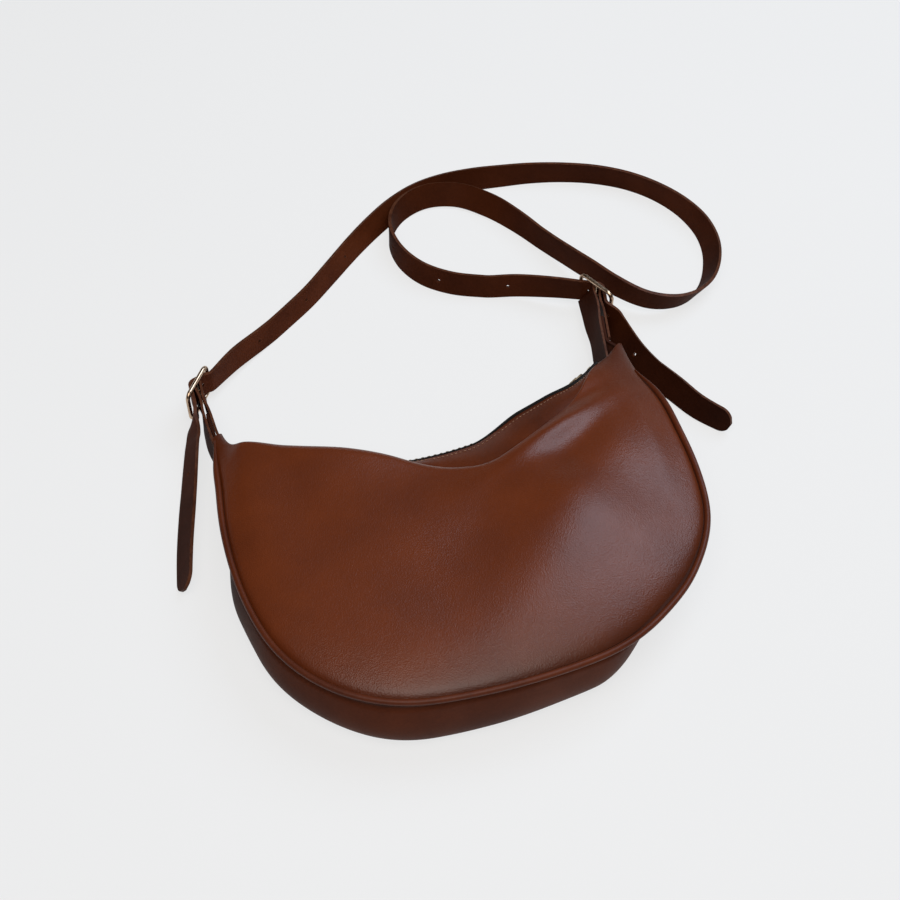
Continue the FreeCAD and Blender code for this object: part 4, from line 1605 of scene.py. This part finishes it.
@dataclass
class Tab:
    """Leather strip folded round a buckle bar at one ear.

    Attributes:
        side: Which ear.
        outline: Plan outline of the bag.
        length: Length of its inner leg.
        width: Width of the strip.
        leather: Its thickness.
        foot: Distance of a leg's middle from the middle of the tab at the neck.
        fold: Radius of the fold round the bar.
        outer_length: Length of its outer leg.
        flares: Lean of the inner leg from the bar to the neck, at its lower edge in millimetres.
        outer_flares: Lean of the outer leg in the same way.
        flare_power: Power that draws the lean to the lower edge.
        pinch: Distance that each leg is drawn in below the bar.
        pinch_hump: Place and width of that, in shares of the leg from the bar.
        raised: Distance that the lower corner of the fold stands up behind the belt.
        raised_share: Share of the leg over which that ends.
        painted_shading: How far painted shade darkens the strip.
        notch: Length, depth and height of the cut for the prong.
    """

    side: Side
    outline: MoonOutline
    length: float = 56.0 * MM
    width: float = 18.5 * MM
    leather: float = 1.5 * MM
    foot: float = 1.9 * MM
    fold: float = 2.35 * MM
    outer_length: float = 56.0 * MM
    flares: tuple[float, ...] = (1.2, 1.0, 1.4, 3.0, 4.5)
    outer_flares: tuple[float, ...] = (0.0, 0.0, 1.6, 2.6, 1.2)
    flare_power: float = 1.2
    pinch: float = 1.2 * MM
    pinch_hump: Pair = (0.22, 0.16)
    raised: float = 0.0
    raised_share: float = 0.35
    painted_shading: float = 0.45
    notch: Triple = (7.8 * MM, 9.0 * MM, 5.2 * MM)

    def painted_shade_at(self, share: float, rise: float) -> float:
        """Return how far painted shade darkens the strip, which is the same all over."""
        return self.painted_shading

    def leg(self, down: float, flares: Sequence[float], corner: float) -> float:
        """Return the distance of a leg from the middle of the tab.

        Args:
            down: Share of the way from the bar to the neck.
            flares: Lean of the leg at its lower edge, in millimetres.
            corner: Share of the lean at this height.

        Returns:
            The distance.
        """
        middle = blend(self.fold, self.foot, down) - self.pinch * hump(down, *self.pinch_hump)
        return middle + through([Vector((flare * MM, 0.0)) for flare in flares], down).x * corner

    def place(self, share: float, rise: float) -> Vector:
        """Return a place on the middle of the strip.

        Args:
            share: Share along the strip from the foot of its outer leg.
            rise: Share of its width from the lower edge.

        Returns:
            The place.
        """
        bend = math.pi * self.fold
        run = share * (2.0 * self.length + bend)
        corner = (1.0 - rise) ** self.flare_power
        if run < self.length:
            down = 1.0 - run / self.length
            u = -down * self.outer_length
            w = self.leg(down, self.outer_flares, corner)
        elif run > self.length + bend:
            down = (run - self.length - bend) / self.length
            u = self.raised * corner * (1.0 - ease(0.0, self.raised_share, down))
            u -= down * self.length
            w = -self.leg(down, self.flares, corner)
        else:
            turn = (run - self.length) / self.fold
            corner *= ease(0.5 * math.pi, math.pi, turn)
            u = self.fold * math.sin(turn) + self.raised * corner
            w = self.fold * math.cos(turn) - self.flares[0] * MM * corner
        along, out = self.outline.axes(self.side)
        plan = self.outline.bar(self.side) + along * u + out * w
        return Vector((plan.x, plan.y, self.outline.bar_level + (rise - 0.5) * self.width))

    def build(self, finishes: Finishes) -> None:
        """Make and dress the tab.

        Args:
            finishes: The finishes of the bag.
        """
        word = self.side.name.lower()
        span = (2.0 * self.length + math.pi * self.fold, self.width)
        strip = Sheet(
            word + "_tab_leather", (150, 8), self.place, span, self.leather, 0.0,
            painted_shade=self.painted_shade_at,
        )
        piece = strip.build(finishes.strap, finishes.edge)
        bm = bmesh.new()
        bmesh.ops.create_cube(bm, size=1.0, matrix=self.outline.box(self.side, self.notch))
        carve(piece, bm, finishes.edge)
        settle(piece, word + "_tab")


@dataclass
class Belt:
    """The strap: one belt on its edge from the left tail to the right tail.

    Attributes:
        outline: Plan outline of the bag.
        width: Width of the belt.
        thick: Its thickness.
        spread: Length that the places in the tables are shares of.
        frame_turn: Turn of a buckle frame inward from its tab, in degrees.
        frame_half: Distance of a frame's far rod from its bar.
        rod_gap: Distance of the belt's face from the frame's plane at that rod.
        wrap: Distance of its face from the middle of the bar.
        near_shares: Places of the route from the far rod to the bar.
        wrap_shares: Places of the route round the bar.
        leave_shares: Places of the route from the bar to the tail.
        leave_reach: Length of that part.
        leave_drift: Distance that it drifts outward.
        lean_shares: Shares of the tail's lean over the last places there.
        swings: Distance that each belt swings out over those places, in millimetres.
        lift_reach: Distance from a bar within which the belt rises to the buckle.
        floor_gap: Height of its lower edge over the floor.
        tail_round: Length of a tail's rounded end.
        tail_least: Least share of the width there, squared.
        hole: Radius of a hole.
        hole_pitch: Distance from one hole to the next.
        hole_counts: Count of holes on the run's side and the tail's side of a prong.
        slit: Length, depth and height of the cut for a prong.
        slit_shift: Place of that cut from the bar, along and outward.
        run_shares: Route from buckle to buckle: places, and leans in degrees.
        left_tail_shares: Route of the left tail from the buckle, in the same way.
        right_tail_shares: Route of the right tail, in the same way.
    """

    outline: MoonOutline
    width: float = 17.5 * MM
    thick: float = 2.2 * MM
    spread: float = 300.0 * MM
    frame_turn: float = 38.5
    frame_half: float = 14.0 * MM
    rod_gap: float = 3.0 * MM
    wrap: float = 3.5 * MM
    near_shares: tuple[float, ...] = (0.0, 0.35, 0.7, 0.9)
    wrap_shares: tuple[float, ...] = (0.12, 0.34, 0.56, 0.78, 1.0)
    leave_shares: tuple[float, ...] = (0.1, 0.25, 0.45, 0.7, 1.0)
    leave_reach: float = 30.0 * MM
    leave_drift: float = 1.6 * MM
    lean_shares: Triple = (0.05, 0.7, 1.0)
    swings: dict[Side, Triple] = field(
        default_factory=lambda: {Side.LEFT: (0.6, 7.0, 10.2), Side.RIGHT: (0.0, 0.0, 0.6)}
    )
    lift_reach: float = 85.0 * MM
    floor_gap: float = 0.1 * MM
    tail_round: float = 9.25 * MM
    tail_least: float = 0.0004
    hole: float = 1.1 * MM
    hole_pitch: float = 49.0 * MM
    hole_counts: tuple[int, int] = (3, 2)
    slit: Triple = (10.0 * MM, 4.4 * MM, 2.8 * MM)
    slit_shift: Pair = (6.2 * MM, 1.7 * MM)
    run_shares: tuple[Triple, ...] = (
        (-0.3262, 0.6680, 8.0), (-0.2588, 0.7160, 8.5), (-0.1880, 0.7637, 9.5),
        (-0.1200, 0.8110, 12.0), (-0.0500, 0.8690, 15.5), (0.0200, 0.9280, 19.0),
        (0.0840, 0.9760, 23.0), (0.1480, 1.0163, 27.0), (0.2140, 1.0450, 28.0),
        (0.2800, 1.0577, 24.0), (0.3540, 1.0580, 18.0), (0.4280, 1.0497, 12.0),
        (0.5020, 1.0393, 5.0), (0.5793, 1.0187, 0.0), (0.6533, 0.9863, -2.0),
        (0.7190, 0.9407, -3.0), (0.7703, 0.8800, 0.0), (0.8030, 0.8073, 9.0),
        (0.8123, 0.7287, 23.0), (0.7943, 0.6520, 33.0), (0.7473, 0.5777, 31.0),
        (0.6776, 0.5390, 21.0), (0.6014, 0.5456, 7.0), (0.5412, 0.5980, -3.0),
        (0.5007, 0.6756, -7.0), (0.4690, 0.7540, -7.0), (0.4370, 0.8283, -10.0),
        (0.3987, 0.8993, -19.0), (0.3530, 0.9630, -32.0), (0.2960, 1.0150, -37.0),
        (0.2243, 1.0323, -29.0), (0.1543, 1.0060, -14.0), (0.1113, 0.9483, 1.0),
        (0.1073, 0.8713, 10.0), (0.1370, 0.7993, 14.0), (0.1940, 0.7460, 13.0),
        (0.2657, 0.7107, 11.0), (0.3400, 0.6797, 11.0),
    )
    left_tail_shares: tuple[Triple, ...] = (
        (-0.4945, 0.4600, -32.0), (-0.5190, 0.3870, -35.0), (-0.5425, 0.3100, -37.0),
        (-0.5665, 0.2200, -35.0), (-0.5870, 0.1250, -31.0),
    )
    right_tail_shares: tuple[Triple, ...] = (
        (0.4960, 0.4110, 38.0), (0.5140, 0.3560, 40.0), (0.5455, 0.2925, 32.0),
        (0.5790, 0.2240, 22.0), (0.6310, 0.1580, 10.0),
    )

    def __post_init__(self) -> None:
        """Lay out the route."""
        self.spots = self.route()
        self.track = Track(self.spots, 24)

    def crossing(self, side: Side) -> list[Vector]:
        """Return the plan places where the belt threads a buckle, from its run to its tail."""
        along, out = self.outline.axes(side, self.frame_turn)
        centre = self.outline.bar(side)
        half = self.thick / 2.0
        bend = self.wrap + half
        start = Vector((self.frame_half, -(self.rod_gap + half)))
        first = math.atan2(start.y, start.x) + math.acos(bend / start.length)
        last = math.radians(90.0 + self.frame_turn)
        touch = Vector((math.cos(first), math.sin(first))) * bend
        spots = [start.lerp(touch, share) for share in self.near_shares]
        for share in self.wrap_shares:
            turn = blend(first, last, share)
            spots.append(Vector((math.cos(turn), math.sin(turn))) * bend)
        places = [centre + along * spot.x + out * spot.y for spot in spots]
        along, out = self.outline.axes(side)
        for share in self.leave_shares:
            aside = out * (bend + self.leave_drift * share * share)
            places.append(centre + aside - along * (self.leave_reach * share))
        return places

    def thread(self, side: Side, lean: float) -> list[Vector]:
        """Return the places at a buckle with their leans, from the run to the tail.

        Args:
            side: Which buckle.
            lean: Lean of the tail in degrees.

        Returns:
            The plan places, with the lean as the third value.
        """
        out = self.outline.axes(side)[1]
        places = [place.to_3d() for place in self.crossing(side)]
        for place, share, swing in zip(places[-3:], self.lean_shares, self.swings[side]):
            place.z = lean * share * MM
            place.xy += out * (swing * MM)
        return places

    def route(self) -> list[Vector]:
        """Return the plan places of the belt with its lean in degrees as the third value."""
        left, run, right = (
            [Vector((x * self.spread, y * self.spread, lean * MM)) for x, y, lean in table]
            for table in (self.left_tail_shares, self.run_shares, self.right_tail_shares)
        )
        left = self.thread(Side.LEFT, self.left_tail_shares[0][2]) + left
        right = self.thread(Side.RIGHT, self.right_tail_shares[0][2]) + right
        return [*reversed(left), *run, *right]

    def station(self, run: float) -> tuple[Vector, Vector, Vector]:
        """Return the belt's bearings at a run along it.

        Args:
            run: Distance from the left end.

        Returns:
            The bottom edge, the width direction and the outward normal.
        """
        spot = self.track.at(run)
        heading = self.track.heading(run)
        heading = Vector((heading.x, heading.y, 0.0)).normalized()
        lean = math.radians(spot.z / MM)
        across = UP * math.cos(lean) + UP.cross(heading) * math.sin(lean)
        away = min((spot.to_2d() - self.outline.bar(side)).length for side in Side)
        near = ease(0.0, 1.0, 1.0 - away / self.lift_reach)
        lift = (self.outline.bar_level - self.width / 2.0) * near
        foot = self.thick / 2.0 * abs(math.sin(lean)) + self.floor_gap
        return Vector((spot.x, spot.y, max(lift, foot))), across, across.cross(heading)

    def place(self, share: float, rise: float) -> Vector:
        """Return a place on the middle of the belt, narrowed to its rounded tails."""
        run = share * self.track.length
        low, across, _ = self.station(run)
        end = min(run, self.track.length - run)
        half = self.width / 2.0
        if end < self.tail_round:
            half *= math.sqrt(max(self.tail_least, 1.0 - (1.0 - end / self.tail_round) ** 2))
        return low + across * (self.width / 2.0 + (2.0 * rise - 1.0) * half)

    def painted_shade_at(self, share: float, rise: float) -> float:
        """Return how far painted shade darkens the belt: least on its left run, most at its right
        tail.
        """
        # Painted shade: the left run stays light as if lit, the loops and left tail darker, the
        # right tail darkest as if in shadow
        middle = 0.5 * max(1.0 - ease(0.04, 0.12, share), ease(0.22, 0.34, share))
        return middle + 0.35 * ease(0.86, 0.94, share)

    def holes(self) -> bmesh.types.BMesh:
        """Return the shape of all the holes through the belt."""
        bm = bmesh.new()
        cutter = {"radius1": self.hole, "radius2": self.hole, "depth": 8.0 * MM, "segments": 16}
        for side in Side:
            mark = self.crossing(side)[0]
            away = [(spot.to_2d() - mark).length for spot in self.spots]
            base = self.track.knots[away.index(min(away))]
            for way, count in zip((-side.value, side.value), self.hole_counts):
                for k in range(1, count + 1):
                    low, across, normal = self.station(base + way * self.hole_pitch * k)
                    place = Matrix.Translation(low + across * (self.width / 2.0))
                    turn = normal.to_track_quat("Z", "Y").to_matrix().to_4x4()
                    bmesh.ops.create_cone(bm, cap_ends=True, matrix=place @ turn, **cutter)
            box = self.outline.box(side, self.slit, self.frame_turn, self.slit_shift)
            bmesh.ops.create_cube(bm, size=1.0, matrix=box)
        return bm

    def build(self, finishes: Finishes) -> None:
        """Make and dress the belt.

        Args:
            finishes: The finishes of the bag.
        """
        span = (self.track.length, self.width)
        belt = Sheet(
            "belt_leather", (900, 8), self.place, span, self.thick, 0.0, painted_shade=self.painted_shade_at
        )
        piece = belt.build(finishes.strap, finishes.edge)
        carve(piece, self.holes(), finishes.edge)
        settle(piece, "strap")


class Buckles:
    """The two centre bar buckles with their prongs."""

    def build(self, finishes: Finishes) -> None:
        """Dress the frames and prongs."""
        for side in Side:
            for part in ("frame", "prong"):
                dress(side.name.lower() + "_buckle_" + part, finishes.buckle)


@dataclass(frozen=True)
class Lamp:
    """A soft rectangular lamp that looks at the bag.

    Attributes:
        name: Its name.
        way: Direction to it from the bag.
        far: Its distance.
        size: Its width and height.
        watts: Its power.
        tint: Its colour.
        aim: Place that it looks at.
    """

    name: str
    way: Triple
    far: float
    size: Pair
    watts: float
    tint: Triple
    aim: Triple = (0.0, 0.05, 0.0)

    def hang(self) -> None:
        """Put the lamp into the scene."""
        data = bpy.data.lights.new(self.name, "AREA")
        data.shape = "RECTANGLE"
        data.size, data.size_y = self.size
        data.energy = self.watts
        data.color = self.tint
        lamp = bpy.data.objects.new(self.name, data)
        spot = Vector(self.way).normalized() * self.far
        lamp.location = spot + Vector(self.aim)
        lamp.rotation_euler = (-spot).to_track_quat("-Z", "Y").to_euler()
        bpy.context.scene.collection.objects.link(lamp)


@dataclass
class Studio:
    """Camera, lamps, floor and background.

    Attributes:
        eye: Place of the camera.
        aim: Place that it looks at.
        lens: Its focal length in millimetres.
        sensor: Width of its sensor in millimetres.
        glow: Brightness of the floor's own light.
        glow_share: Share of that light where the floor is seen.
        floor_radius: Radius of the floor's flat part.
        floor_level: Its height, a little below the bag.
        floor_rises: Steps that its rim curves up by.
        floor_flare: Growth of the rim at each step.
        room: Brightness of the even light from above.
        room_tint: Its colour.
        lamps: The lamps.
    """

    eye: Triple = (-0.18715, -0.50866, 0.81165)
    aim: Triple = (0.01407, 0.09270, 0.0)
    lens: float = 64.0
    sensor: float = 36.0
    glow: float = 0.835
    glow_share: float = 0.86
    floor_radius: float = 5.0
    floor_level: float = -0.2 * MM
    floor_rises: tuple[float, ...] = (0.04, 0.08, 0.13, 0.19, 0.26)
    floor_flare: float = 1.06
    room: float = 0.045
    room_tint: Triple = (1.0, 0.97, 0.95)
    lamps: tuple[Lamp, ...] = (
        Lamp("top_key", (-0.15, -0.40, 1.0), 1.7, (1.2, 1.2), 24.5, (1.0, 0.95, 0.90)),
        Lamp("window", (0.54, 0.22, 0.81), 1.6, (0.85, 1.1), 21.0, (0.68, 0.82, 1.0)),
    )

    def camera(self) -> None:
        """Place the camera."""
        data = bpy.data.cameras.new("camera")
        data.lens = self.lens
        data.sensor_width = self.sensor
        data.clip_start = 0.01
        camera = bpy.data.objects.new("camera", data)
        camera.location = self.eye
        way = Vector(self.aim) - Vector(self.eye)
        camera.rotation_euler = way.to_track_quat("-Z", "Y").to_euler()
        bpy.context.scene.collection.objects.link(camera)
        bpy.context.scene.camera = camera

    def seen(self, mix: Mixer) -> Socket:
        """Return 1 for rays that show the background and 0 for rays that light the bag."""
        rays = mix.add("LightPath").outputs
        first = mix.maths("MAXIMUM", rays["Is Camera Ray"], rays["Is Transmission Ray"])
        return mix.maths("MAXIMUM", first, rays["Is Glossy Ray"])

    def pale(self) -> Finish:
        """Return the finish of the floor, which keeps a soft shadow."""
        mix = Mixer("pale_floor")
        cloud = mix.noise(mix.place(), 3.0)
        pale = mix.ramp(cloud, (0.3, (0.80, 0.80, 0.80)), (0.7, (0.82, 0.82, 0.82)))
        matte = mix.add("BsdfDiffuse", {"Color": pale}).outputs["BSDF"]
        light = mix.add("Emission", {"Color": (self.glow, self.glow, self.glow, 1.0)})
        both = mix.add(
            "MixShader", {"0": self.glow_share, "1": matte, "2": light.outputs["Emission"]}
        )
        inputs = {"0": self.seen(mix), "1": matte, "2": both.outputs["Shader"]}
        return mix.done(mix.add("MixShader", inputs).outputs["Shader"])

    def floor(self) -> None:
        """Lay the plain pale floor."""
        bm = bmesh.new()
        level = Matrix.Translation((0.0, 0.0, self.floor_level))
        bmesh.ops.create_circle(
            bm, cap_ends=True, segments=96, radius=self.floor_radius, matrix=level
        )
        for rise in self.floor_rises:
            rim = [edge for edge in bm.edges if edge.is_boundary]
            verts = verts_of(bmesh.ops.extrude_edge_only(bm, edges=rim)["geom"])
            bmesh.ops.scale(bm, verts=verts, vec=(self.floor_flare, self.floor_flare, 1.0))
            bmesh.ops.translate(bm, verts=verts, vec=(0.0, 0.0, rise))
        bmesh.ops.recalc_face_normals(bm, faces=bm.faces)
        floor = piece_from("floor", bm, self.pale())
        floor.data.shade_smooth()

    def sky(self) -> None:
        """Set the even light from above."""
        world = bpy.data.worlds.new("plain_room")
        bpy.context.scene.world = world
        world.use_nodes = True
        ground = world.node_tree.nodes["Background"]
        ground.inputs["Color"].default_value = (*self.room_tint, 1.0)
        ground.inputs["Strength"].default_value = self.room

    def build(self) -> None:
        """Set up the studio."""
        bpy.context.scene.view_settings.view_transform = "Standard"
        self.camera()
        self.floor()
        self.sky()
        for lamp in self.lamps:
            lamp.hang()


def main() -> None:
    """Build the bag piece by piece."""
    logging.basicConfig(level=logging.INFO, format="%(name)s: %(message)s")
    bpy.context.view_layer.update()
    Studio().build()
    finishes = Finishes()
    outline = MoonOutline()
    shell = Shell(Panel(outline), ZipLine(outline))
    shell.build(finishes)
    ZipMouth(shell).build(finishes)
    Tab(Side.LEFT, outline).build(finishes)
    Tab(
        Side.RIGHT, outline, 68.0 * MM, outer_length=45.5 * MM, flares=(8.0, 8.0, 5.2, 5.5, 6.0),
        outer_flares=(0.0, 0.0), raised=4.5 * MM, painted_shading=0.7,
    ).build(finishes)
    Belt(outline).build(finishes)
    Buckles().build(finishes)


if __name__ == "__main__":
    main()
